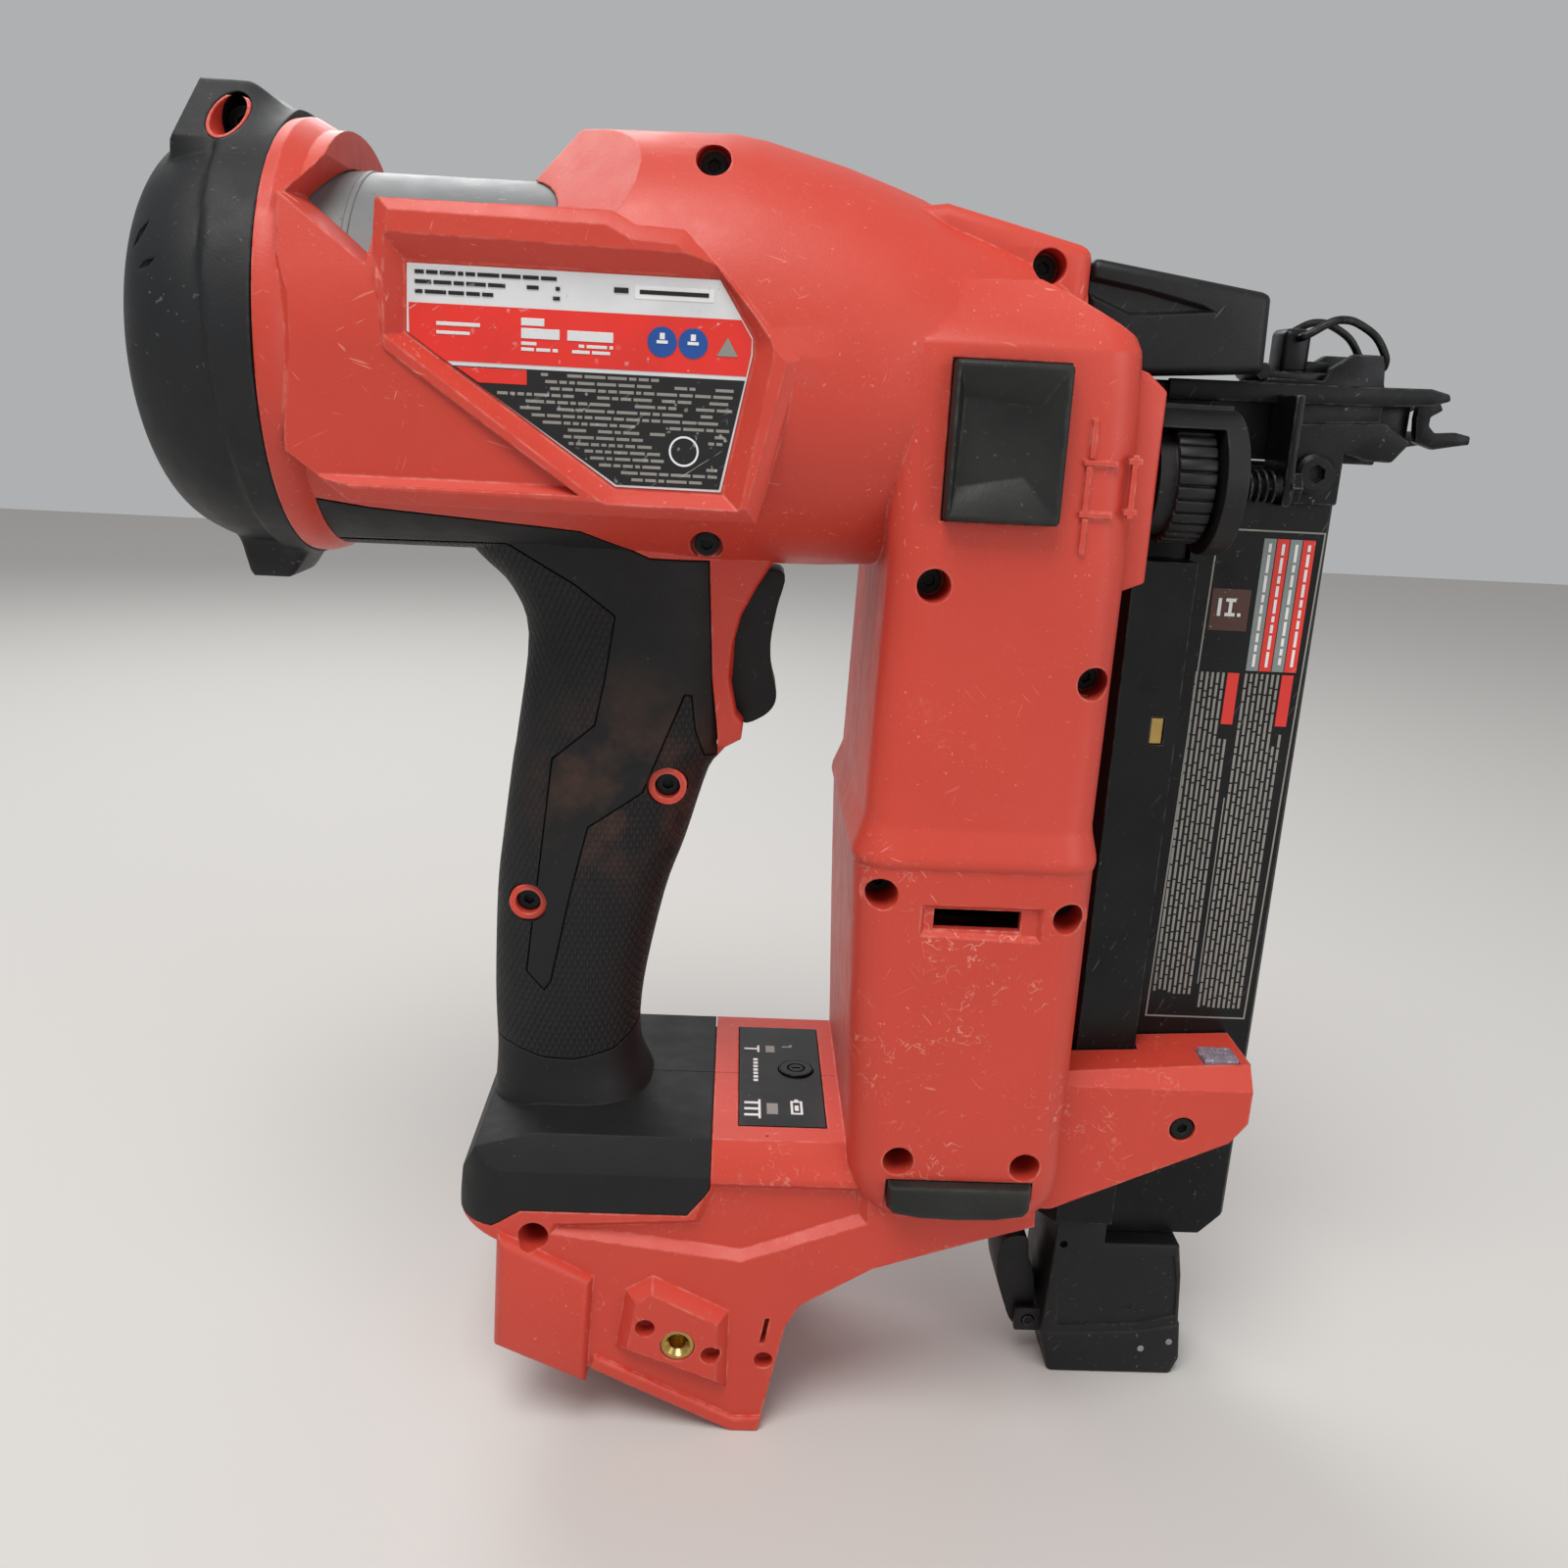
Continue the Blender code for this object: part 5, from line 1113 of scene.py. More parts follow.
def build_magazine_label():
    """Frame line, colour blocks and generic bars on the magazine's left face."""
    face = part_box("magazine_slide")[0][1]
    low, high = face - FILM, face - OVERLAP
    inner = plate("inner", grown(MAGAZINE_FRAME, -0.0004), low - 0.001, high + 0.001)
    show(cut(plate("frame", MAGAZINE_FRAME, low, high), inner), "magazine_label_frame",
         "label_print", "magazine_cover")
    shuffle = random.Random(11)
    columns, on_stripes = column_bars(shuffle), stripe_bars(shuffle)
    stripes = [(f"magazine_label_stripe_{index + 1}", [(left, 0.1925, right - 0.0002, 0.2236)],
                look, 1) for index, (left, right, look) in enumerate(STRIPES)]
    for name, rects, look, level in (
            ("magazine_label_block", [BROWN_BLOCK], "label_brown", 1),
            ("magazine_label_marks", MAGAZINE_MARKS, "label_white", 2), *stripes,
            ("magazine_small_print", columns, "label_print", 1),
            ("magazine_stripe_print", on_stripes, "label_white", 2),
            ("magazine_label_heads", MAGAZINE_HEADS, "label_red", 1),
            ("magazine_label_divider", [MAGAZINE_DIVIDER], "label_print", 1)):
        span = (low, high) if level == 1 else (low - FILM, low + OVERLAP)
        show(tiles("tiles", rects, *span), name, look, "magazine_cover")


BATTERY_SIGN = mm((1.2, -21.2, 1.8, -14.6), (3.6, -21.2, 4.2, -14.6), (1.8, -21.2, 3.6, -20.5),
                  (1.8, -15.3, 3.6, -14.6), (2.2, -14.6, 3.2, -13.8), (2.2, -19.4, 3.2, -16.8))
GAUGE_SIGN = mm((-4.8, -21.4, -2, -16), (-4.6, 11.8, -2.2, 15.6), (-0.2, 14.9, 2.4, 15.6),
                (1.8, 15.6, 2.6, 16.4))


def build_key_panel_marks():
    """Pale generic signs on the key panel: nails, a battery and bars (X, Y)."""
    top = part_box("control_panel")[1][2]
    low, high = top - OVERLAP, top + 0.00008
    nails = [(-0.0069, 0.0118, -0.0063, 0.0156), (-0.0104, 0.0133, -0.0069, 0.0141)]
    nails += [(-0.0069, -0.0236, -0.0063, -0.0142)]
    nails += [(-0.0104, y - 0.0005, -0.0069, y + 0.0005) for y in (-0.0219, -0.0189, -0.0159)]
    bars = [(-0.0080, -0.0046 + 0.0019 * k, -0.0068, -0.0034 + 0.0019 * k) for k in range(7)]
    show(tiles("signs", nails + bars + list(BATTERY_SIGN), low, high, axis="Z"), "key_panel_signs",
         "label_white")
    show(tiles("gauge", GAUGE_SIGN, low, high, axis="Z"), "key_panel_gauge", "label_print")


def thin_ring(place, top, outer, inner, sides):
    """Printed ring (X, Y) whose upper face lies at a height."""
    return cut(rod("ring", place, top - FILM, top, outer, sides, axis="Z"),
               rod("hole", place, top - 0.001, top + 0.001, inner, sides, axis="Z"))


def build_button_marks():
    """Ring and signs on top of the mode button."""
    low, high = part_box("mode_button")
    place = ((low[0] + high[0]) / 2, (low[1] + high[1]) / 2)
    show(thin_ring(place, high[2], 0.0043, 0.0041, 48), "button_ring", "label_print", "mode_button")
    sign = tiles("sign", [(place[0] - 0.0012, place[1] - 0.00035,
                           place[0] + 0.0012, place[1] + 0.00035)],
                 high[2] - FILM, high[2], axis="Z")
    oval = thin_ring(place, high[2], 0.0024, 0.0019, 32)
    show(joined("button_signs", [sign, oval]), "button_signs", "label_white", "mode_button")


# ---------------------------------------------------------------- nose, trigger and magazine end
DRIVE_Z = 0.2515
DEPTH_AXIS = mm(-21.2, 236)   # Y and Z of the depth wheel
NOSE_COVER = mm((54.9, 281.4), (94.7, 276.1), (95.2, 259.5), (70, 257.9), (54.9, 257.9))
NOSE_WEDGE = mm((53, 277.5), (67.6, 275.2), (79, 272.8), (82.1, 271.7), (64, 270.3), (53, 274.5))
NOSE_PLATE = mm((98.5, 256), (98.5, 259), (111.5, 259), (112.8, 261.7), (117.6, 265), (124, 265),
    (124.8, 262.9), (125.2, 259), (126.2, 256))
NOSE_LOWER = mm((104.6, 249.4), (126, 250.5), (132.3, 246.6), (128.6, 242), (123.2, 242.1),
    (117.5, 243.5), (117.5, 232), (105, 232))
NOSE_SCREW = mm(111, 238.8)
CONTACT_BAR = mm((76, 253.3), (76, 257.8), (124, 258.2), (134.9, 258.4), (139.2, 257.4),
    (139.6, 256), (135.6, 254.7), (124, 254))
CONTACT_PRONG = mm((134.6, 256.2), (139.2, 255.8), (140.2, 254), (137.6, 252.4), (137.6, 250.4),
    (139.2, 248.9), (144, 249.3), (147.5, 248.6), (147.5, 246.8), (144, 246.2), (139.3, 245.3),
    (134.9, 246.6), (134.3, 252))
DOOR_PIVOT = mm(98.5, 260.4)
LATCH_PIVOT = mm(106, 268)
LEVER_PIVOT = mm(69, 13)
END_CAP = mm((71.9, 12), (74.8, 0), (108.3, 0), (110.3, 5), (109, 14.7), (107.8, 30), (106.4, 38.3),
    (106.4, 39.7), (73, 39.7))
END_FLANGE = mm((72.1, 12.2), (74.8, 0), (108.3, 0), (110.3, 5), (109.2, 16), (96, 13.3))
END_PANEL = mm((84, 36), (105, 36.6), (106.6, 29), (107.6, 18), (96, 15.2), (76, 14.2),
    (75, 30), (78, 30))
END_RIVETS = mm((99.3, 8), (106.7, 10.3))
LEVER = mm((60.4, 34.5), (59.8, 29), (60.2, 24), (62.2, 17.5), (65.5, 10), (70.3, 9.8), (71, 16),
    (70.6, 21.5), (70, 25.5), (68.2, 30), (67.2, 36.2), (63, 36.6))
SPRINGS = (                  # node, joint, turns, wire radius, length left, look
    ("contact_spring", "contact_slide", 6, 0.00045, 0.30, "dark_steel"),
    ("trigger_spring", "trigger_pull", 7, 0.00035, 0.66, "bright_steel"),
)
TRIGGER_SIDE = mm((-6.7, 209.7), (-8.1, 202), (-9.2, 193.9), (-8.6, 187), (-7.3, 182),
    (-7.8, 178.5), (-10.5, 175.7), (-15, 174.2), (-18, 179), (-24, 185), (-25, 196), (-24.5, 207),
    (-20, 210.5), (-12, 210.6))


def build_nose_cover():
    """Cover with a sunk wedge on each side and a shallow step under its front edge."""
    cover = plate("cover", NOSE_COVER, -0.0170, 0.0170, bevel=0.0020, segments=4)
    tools = [box("inside", (0.0500, -0.0140, 0.2500), (0.0915, 0.0140, 0.2725))]
    for side in (-1, 1):
        tools.append(side_loft("wedge", [(side * 0.0156, grown(NOSE_WEDGE, -0.0006)),
                                         (side * 0.0176, grown(NOSE_WEDGE, 0.0008))]))
    show(cut(cover, *tools), "nose_cover_shell", "black_plastic", replaces="nose_cover")


def ribbed(teeth, root, tip):
    """Outline (Y, Z) of the depth wheel: wide ribs with narrow grooves."""
    points = []
    for tooth in range(teeth):
        for share, radius in ((0.0, root), (0.10, root), (0.20, tip), (0.55, tip + 0.0001),
                              (0.90, tip)):
            turn = 2 * math.pi * (tooth + share) / teeth
            points.append((DEPTH_AXIS[0] + radius * math.cos(turn),
                           DEPTH_AXIS[1] + radius * math.sin(turn)))
    return points


def build_depth_wheel():
    """Ribbed wheel with a smooth collar."""
    wheel = plate("wheel", ribbed(28, 0.0124, 0.0132), 0.0740, 0.0820, axis="X", bevel=0.0004,
                  segments=2)
    wheel = union(wheel, rod("collar", DEPTH_AXIS, 0.0704, 0.0745, 0.0115, 64, axis="X"))
    hole = rod("hole", DEPTH_AXIS, 0.0650, 0.0900, 0.0026, 32, axis="X")
    show(cut(wheel, hole), "depth_wheel_ribbed", "black_plastic", "depth_wheel",
         replaces="depth_wheel")


def build_depth_guard():
    """Rounded hood over the depth wheel, open at the side."""
    y, z = DEPTH_AXIS
    drum = rod("drum", (y, z), 0.0700, 0.0880, 0.0155, 72, axis="X")
    drum = union(drum, box("root", (0.0700, y, z - 0.0110), (0.0880, -0.0094, z + 0.0164)))
    drum = bevelled(drum, 0.0014, 3)
    room = union(rod("room", (y, z), 0.0690, 0.0834, 0.0141, 72, axis="X"),
                 box("side_room", (0.0690, -0.0500, z - 0.0200), (0.0834, -0.0080, z + 0.0115)))
    hood = cut(drum, room, rod("hole", (y, z), 0.0650, 0.0950, 0.0026, 32, axis="X"))
    show(hood, "depth_guard_hood", "black_plastic", replaces="depth_guard")


def build_nose():
    """Nose block with its side plates and the bracket of the contact bar."""
    body = box("body", (0.0503, -0.0090, 0.2412), (0.1260, 0.0090, 0.2574), 0.0005, 2)
    tip = box("tip", (0.1240, -0.0052, 0.2455), (0.1342, 0.0052, 0.2555), 0.0006, 2)
    plates = [plate("side_plate", NOSE_PLATE, *on_side(side, 0.0072, 0.0092),
                    bevel=0.0003, segments=2) for side in (-1, 1)]
    bracket = plate("bracket", NOSE_LOWER, -0.0118, -0.0084, bevel=0.0005, segments=2)
    channel = box("channel", (0.0400, -0.0034, DRIVE_Z - 0.0012),
                  (0.1500, 0.0034, DRIVE_Z + 0.0012))
    teeth = box("teeth_room", (0.0400, 0.0, DRIVE_Z - 0.0013), (0.0960, 0.0060, DRIVE_Z + 0.0013))
    track = box("track", (0.0690, -0.0012, 0.2300), (0.1190, 0.0012, DRIVE_Z))
    bore = rod("bore", NOSE_SCREW, -0.0200, -0.0080, 0.0022, 24)
    show(cut(union(body, tip, bracket, *plates), channel, teeth, track, bore), "nose_block",
         "dark_steel", replaces="nose_body")


def build_nose_screw():
    head = union(rod("head", NOSE_SCREW, -0.0134, -0.0121, 0.0046, 40),
                 rod("dome", NOSE_SCREW, -0.0134, -0.0141, 0.0046, 40, 0.0036),
                 rod("shank", NOSE_SCREW, -0.0125, -0.0090, 0.0018, 16))
    show(cut(head, rod("socket", NOSE_SCREW, -0.0150, -0.0124, 0.0021, 6)), "nose_screw_head",
         "black_metal", replaces="nose_screw")


def build_jam_door():
    leaf = box("leaf", (DOOR_PIVOT[0], -0.0070, 0.2578), (0.1160, 0.0070, 0.2606), 0.0004, 2)
    knuckle = rod("knuckle", DOOR_PIVOT, -0.0070, 0.0070, 0.0019, 28)
    boss = box("boss", (0.1030, -0.0048, 0.2600), (0.1092, 0.0048, 0.2700), 0.0014, 3)
    barb = box("barb", (0.1085, -0.0030, 0.2600), (0.1148, 0.0030, 0.2632), 0.0006, 2)
    show(union(leaf, knuckle, boss, barb), "jam_door_leaf", "dark_steel", "jam_door",
         replaces="jam_door")


def build_work_contact():
    """Contact bar with its upper fork, its cross piece, two prongs and the arm to the stem."""
    bar = plate("bar", CONTACT_BAR, -0.0122, -0.0098, bevel=0.0004, segments=2)
    bridge = box("bridge", (0.1346, -0.0120, 0.2556), (0.1384, 0.0084, 0.2578), 0.0005, 2)
    prongs = [plate("prong", CONTACT_PRONG, *on_side(side, 0.0055, 0.0082), bevel=0.0004,
                    segments=2) for side in (-1, 1)]
    arm = box("arm", (0.1002, -0.0240, 0.2318), (0.1024, -0.0096, 0.2556), 0.0007, 2)
    stem = rod("stem", DEPTH_AXIS, 0.0720, 0.1010, 0.0022, 32, axis="X")
    nut = rod("nut", DEPTH_AXIS, 0.1020, 0.1042, 0.0036, 6, axis="X")
    show(union(bar, bridge, *prongs, arm, stem, nut), "work_contact_fork", "dark_steel",
         "work_contact", replaces="work_contact")


def build_tank():
    """Smooth gas tank, open for the drive cylinder."""
    tank = rod("tank", (0, AXIS_Z), -0.1290, 0.0027, TANK_R, 128, axis="X")
    space = rod("space", (0, AXIS_Z), -0.1265, -0.0003, TANK_R - 0.0025, 64, axis="X")
    mouth = rod("mouth", (0, DRIVE_Z), -0.0020, 0.0100, 0.0163, 48, axis="X")
    weld = turned("weld", ((0.0350, -0.1002), (0.03625, -0.0998), (0.03625, -0.0986),
                           (0.0350, -0.0982)), (0.0, AXIS_Z), 128)
    show(cut(union(tank, weld), space, mouth), "gas_tank", "tank_grey", replaces="pressure_tank")


def build_latch_wire():
    """Bent wire from its pivot on the door over the nose to the hooks."""
    x, z = LATCH_PIVOT
    side = ((x, 0.0053, z), (x + 0.0003, 0.0068, z + 0.0002), (x + 0.0020, 0.0071, z + 0.0012),
            (x + 0.0060, 0.0071, z + 0.0036), (x + 0.0090, 0.0071, z + 0.0042),
            (x + 0.0120, 0.0071, z + 0.0036), (x + 0.0165, 0.0071, z + 0.0010),
            (x + 0.0194, 0.0069, z - 0.0030), (x + 0.0199, 0.0060, z - 0.0052),
            (x + 0.0199, 0.0045, z - 0.0056))
    turn = smooth_rows(side, 4)
    points = turn + [(px, -py, pz) for px, py, pz in reversed(turn)]
    curve = bpy.data.curves.new("wire", "CURVE")
    curve.dimensions = "3D"
    curve.bevel_depth = 0.0009
    curve.bevel_resolution = 4
    curve.use_fill_caps = True
    spline = curve.splines.new("POLY")
    spline.points.add(len(points) - 1)
    for point, place in zip(spline.points, points):
        point.co = (*place, 1.0)
    show(bake(add_object("wire", curve), simplify=False), "latch_wire_bent", "dark_steel",
         "latch_wire", replaces="latch_wire")


def build_trigger():
    solid = plate("trigger", smooth_outline(TRIGGER_SIDE, 4), -0.0065, 0.0065, bevel=0.0020,
                  segments=5)
    bore = rod("bore", TRIGGER_PIVOT, -0.0100, 0.0100, 0.0018, 24)
    show(cut(solid, bore), "trigger_lever", "black_plastic", "trigger", replaces="trigger")


def build_magazine_end():
    """Foot of the sliding cover with its flange, the lever's lugs, rivets and small holes."""
    block = plate("block", END_CAP, -0.0136, 0.0136, bevel=0.0009, segments=2)
    flange = plate("flange", END_FLANGE, -0.0140, 0.0140, bevel=0.0012, segments=3)
    step = box("step", (0.0730, -0.0136, 0.0380), (0.0862, 0.0136, 0.0468), 0.0006, 2)
    x, z = LEVER_PIVOT
    lugs = [box("lug", (x - 0.0035, inner, z - 0.0035), (x + 0.0060, outer, z + 0.0035), 0.0006, 2)
            for inner, outer in ((-0.0100, -0.0074), (0.0074, 0.0100))]
    tools = [rod("bore", LEVER_PIVOT, -0.0150, 0.0150, 0.0018, 24)]
    for side in (-1, 1):
        tools.append(rod("hole", (0.0752, 0.0391), side * 0.0160, side * 0.0120, 0.0011, 20))
        tools.append(rod("dimple", (0.0946, 0.0205), side * 0.0160, side * 0.0128, 0.0013, 24))
        near, far = on_side(side, 0.0131, 0.0160)
        tools.append(plate("panel", END_PANEL, near, far))
    body = "magazine_cover"
    show(cut(union(block, flange, step, *lugs), *tools), "magazine_foot", "black_plastic", body,
         replaces="magazine_end_cap")
    rivets = [rod("rivet", (rx, rz), side * 0.0136, side * 0.01415, 0.0009, 20)
              for rx, rz in END_RIVETS for side in (-1, 1)]
    show(joined("rivets", rivets), "magazine_foot_rivets", "bright_steel", body)


def build_latch_lever():
    """Thumb lever that holds the sliding cover."""
    lever = plate("lever", smooth_outline(LEVER, 4), -0.0070, 0.0070, bevel=0.0010, segments=3)
    bore = rod("bore", LEVER_PIVOT, -0.0150, 0.0150, 0.0018, 24)
    show(cut(lever, bore), "latch_thumb_lever", "black_plastic", "latch_lever",
         replaces="latch_lever")


def build_lamp():
    """Clear lens with small sunk facets on top, over a lamp chip in a hollow."""
    low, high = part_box("lamp_lens")
    middle = (low + high) / 2
    tools = [box("hollow", (middle.x - 0.0018, middle.y - 0.0018, low.z - 0.0010),
                 (middle.x + 0.0018, middle.y + 0.0018, low.z + 0.0022))]
    for u in (-0.0026, 0.0, 0.0026):
        for v in (-0.0023, 0.0, 0.0023):
            place = middle + Vector((u, v, 0.0))
            tools.append(rod("facet", (place.x, place.y), high.z - 0.0008, high.z + 0.0002,
                             0.0001, 4, end_radius=0.0017, axis="Z"))
    show(cut(box("lens", low, high, 0.0006, 2), *tools), "lamp_lens_faceted", "clear_lens",
         replaces="lamp_lens", sharp=math.radians(12))
    chip = box("chip", (middle.x - 0.0012, middle.y - 0.0012, low.z + 0.0001),
               (middle.x + 0.0012, middle.y + 0.0012, low.z + 0.0012), 0.0002, 1)
    show(chip, "lamp_chip", "lamp_chip")


def build_springs():
    """Coil springs that fill the boxes of the springs they replace."""
    sides = 10
    for node, joint, turns, wire, left, look in SPRINGS:
        low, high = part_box(node)
        y, z = (low[1] + high[1]) / 2, (low[2] + high[2]) / 2
        radius = (high[2] - low[2]) / 2 - wire
        rings = []
        for step in range(turns * 20 + 1):
            x = low[0] + wire + (high[0] - low[0] - 2 * wire) * step / (turns * 20)
            turn = 2 * math.pi * step / 20
            rings.append([
                (x + wire * math.sin(a), y + (radius + wire * math.cos(a)) * math.cos(turn),
                 z + (radius + wire * math.cos(a)) * math.sin(turn))
                for a in (2 * math.pi * k / sides for k in range(sides))])
        spring = show(loft("spring", rings), f"{node}_coil", look, replaces=node)
        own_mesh(spring)


def build_hook_inserts():
    """Threaded inserts with a countersunk mouth in the belt hook's pads."""
    x, z = HOOK_POINT
    for side, word in SIDES:
        insert = rod("insert", (x, z), side * 0.0411, side * 0.0340, 0.0040, 48)
        thread = rod("thread", (x, z), side * 0.0450, side * 0.0350, 0.0020, 32)
        sink = rod("sink", (x, z), side * 0.0396, side * 0.0414, 0.0018, 48, 0.0034)
        show(cut(insert, thread, sink), f"{word}_insert_ring", "brass",
             replaces=f"{word}_hook_insert")


# ---------------------------------------------------------------- material building
class Look:
    """One node material: a Principled shader with helpers that add what feeds it."""

    def __init__(self, name, colour, roughness, metallic=0.0, specular=0.5):
        self.material = bpy.data.materials.new(name)
        self.material.use_nodes = True
        self.tree = self.material.node_tree
        self.shader = self.tree.nodes["Principled BSDF"]
        self.shader.inputs["Metallic"].default_value = metallic
        self.shader.inputs["Specular IOR Level"].default_value = specular
        self.colour = self.solid(colour)
        self.roughness = roughness
        self.rough_terms = []
        self.height = None
        self.place = self.add("ShaderNodeTexCoord").outputs["Object"]

    def add(self, kind, inputs=(), **settings):
        node = self.tree.nodes.new(kind)
        for key, value in settings.items():
            setattr(node, key, value)
        for key, value in dict(inputs).items():
            if isinstance(value, bpy.types.NodeSocket):
                self.tree.links.new(value, node.inputs[key])
            else:
                node.inputs[key].default_value = value
        return node

    def solid(self, colour):
        node = self.add("ShaderNodeRGB")
        node.outputs[0].default_value = (*colour, 1.0)
        return node.outputs[0]

    def math(self, operation, first, second=0.0):
        return self.add("ShaderNodeMath", {0: first, 1: second}, operation=operation).outputs[0]

    def ramp(self, value, low, high, to_low=0.0, to_high=1.0):
        node = self.add("ShaderNodeMapRange", {"Value": value, "From Min": low, "From Max": high,
                                               "To Min": to_low, "To Max": to_high})
        return node.outputs["Result"]

    def stretched(self, scale, turn):
        """Place turned first and then scaled, so marks run along the turned X axis."""
        turned_place = self.add("ShaderNodeMapping", {"Vector": self.place, "Rotation": turn})
        node = self.add("ShaderNodeMapping", {"Vector": turned_place.outputs["Vector"],
                                              "Scale": scale})
        return node.outputs["Vector"]

    def noise(self, scale, detail=3.0, rough=0.55, place=None):
        node = self.add("ShaderNodeTexNoise", {"Vector": place or self.place, "Scale": scale,
                                               "Detail": detail, "Roughness": rough})
        return node.outputs["Fac"]

    def mix(self, amount, colour):
        """Lay a colour over what is there, by an amount from 0 to 1."""
        node = self.add("ShaderNodeMix", data_type="RGBA")
        self.tree.links.new(self.colour, node.inputs["A"])
        self.tree.links.new(amount, node.inputs["Factor"])
        if isinstance(colour, bpy.types.NodeSocket):
            self.tree.links.new(colour, node.inputs["B"])
        else:
            node.inputs["B"].default_value = (*colour, 1.0)
        self.colour = node.outputs["Result"]

    def cloud(self, scale, dark, amount):
        """Slow, uneven change of colour."""
        self.mix(self.ramp(self.noise(scale), 0.35, 0.7, 0.0, amount), dark)

    def speckle(self, scale, threshold, colour, amount, rough=0.0):
        """Small scattered marks, gathered in patches."""
        marks = self.ramp(self.noise(scale, 2.0, 0.6), threshold, threshold + 0.04)
        patch = self.ramp(self.noise(30.0, 3.0), 0.45, 0.62)
        marks = self.math("MULTIPLY", self.math("MULTIPLY", marks, patch), amount)
        self.mix(marks, colour)
        if rough:
            self.rough_terms.append(self.math("MULTIPLY", marks, rough))

    def scratches(self, turn, scale, threshold, colour, amount):
        """Long thin marks that run one way."""
        along = self.stretched((2.0, 24.0, 24.0), (0.0, turn, 0.0))
        marks = self.ramp(self.noise(scale, 2.0, 0.5, along), threshold, threshold + 0.03)
        patch = self.ramp(self.noise(22.0, 2.0), 0.47, 0.66)
        self.mix(self.math("MULTIPLY", self.math("MULTIPLY", marks, patch), amount), colour)

    def fibres(self, scale, width, colour, amount):
        """Short thin curved scuffs in patches, most of them on the lower column."""
        level = self.math("ABSOLUTE", self.math("SUBTRACT", self.noise(scale, 2.0, 0.5), 0.5))
        broken = self.ramp(self.noise(scale * 1.3, 1.0, 0.5), 0.54, 0.60)
        marks = self.math("MULTIPLY", self.ramp(level, width, 0.0), broken)
        apart = self.add("ShaderNodeVectorMath", {0: self.place, 1: SCUFFED_PLACE},
                         operation="DISTANCE").outputs["Value"]
        patch = self.math("MULTIPLY", self.ramp(self.noise(60.0, 3.0), 0.48, 0.64),
                          self.ramp(apart, 0.080, 0.030, 0.10, 1.0))
        self.mix(self.math("MULTIPLY", self.math("MULTIPLY", marks, patch), amount), colour)

    def edge(self, radius):
        """1 on sharp edges and 0 on flat faces."""
        bevel = self.add("ShaderNodeBevel", {"Radius": radius}, samples=4)
        normal = self.add("ShaderNodeNewGeometry").outputs["Normal"]
        dot = self.add("ShaderNodeVectorMath", {0: bevel.outputs["Normal"], 1: normal},
                       operation="DOT_PRODUCT").outputs["Value"]
        return self.ramp(dot, 0.985, 0.86)

    def worn_edges(self, radius, colour, amount, scale=260.0):
        uneven = self.ramp(self.noise(scale, 4.0, 0.65), 0.42, 0.62)
        self.mix(self.math("MULTIPLY", self.math("MULTIPLY", self.edge(radius), uneven), amount),
                 colour)

    def grain(self, scale, depth, detail=2.0, place=None):
        """Bump of fine grain, of a depth in metres."""
        self.raise_by(self.math("MULTIPLY", self.noise(scale, detail, 0.6, place), depth))

    def raise_by(self, height):
        self.height = height if self.height is None else self.math("ADD", self.height, height)

    def finish(self, round_edges=0.0005, uneven=0.12):
        """Connect everything; edges look rounded by a radius."""
        self.tree.links.new(self.colour, self.shader.inputs["Base Color"])
        rough = self.ramp(self.noise(140.0, 4.0), 0.3, 0.7, self.roughness - uneven / 2,
                          self.roughness + uneven / 2)
        for term in self.rough_terms:
            rough = self.math("ADD", rough, term)
        self.tree.links.new(rough, self.shader.inputs["Roughness"])
        bevel = self.add("ShaderNodeBevel", {"Radius": round_edges}, samples=4)
        normal = bevel.outputs["Normal"]
        if self.height is not None:
            bump = self.add("ShaderNodeBump", {"Strength": 1.0, "Distance": 1.0,
                                               "Height": self.height, "Normal": normal})
            normal = bump.outputs["Normal"]
        self.tree.links.new(normal, self.shader.inputs["Normal"])
        return self.material


def red_plastic():
    look = Look("red_plastic_look", RED, 0.46)
    look.cloud(16.0, (0.50, 0.038, 0.022), 0.55)
    look.speckle(620.0, 0.70, RED_PALE, 0.5, 0.15)
    look.speckle(1500.0, 0.70, (0.85, 0.40, 0.33), 0.5, 0.1)
    for turn in (0.5, 1.25, 2.3, 2.9):
        look.scratches(turn, 48.0, 0.72, RED_PALE, 0.5)
    look.fibres(170.0, 0.015, (0.85, 0.40, 0.32), 0.60)
    look.fibres(290.0, 0.020, (0.85, 0.40, 0.32), 0.55)
    look.worn_edges(0.0009, (0.93, 0.42, 0.34), 0.45)
    look.grain(2600.0, 0.000035)
    look.grain(700.0, 0.00003)
    return look.finish(0.0006)


def grip_rubber():
    """Overmould with a fine lattice of slanted cells and reddish dust rubbed into it."""
    look = Look("grip_rubber_look", RUBBER, 0.60, 0.0, 0.28)
    look.cloud(30.0, (0.012, 0.012, 0.013), 0.7)
    dust = look.ramp(look.noise(34.0, 5.0, 0.65), 0.52, 0.70, 0.0, 0.55)
    centre = look.add("ShaderNodeVectorMath", {0: look.place, 1: (-0.042, -0.017, 0.160)},
                      operation="DISTANCE").outputs["Value"]
    near = look.ramp(centre, 0.034, 0.010)
    look.mix(look.math("MULTIPLY", dust, near), RUBBER_DUST)
    look.speckle(900.0, 0.72, (0.12, 0.12, 0.12), 0.5)
    look.worn_edges(0.0008, (0.035, 0.035, 0.036), 0.5)
    look.grain(1800.0, 0.00006)
    return look.finish(0.0006)


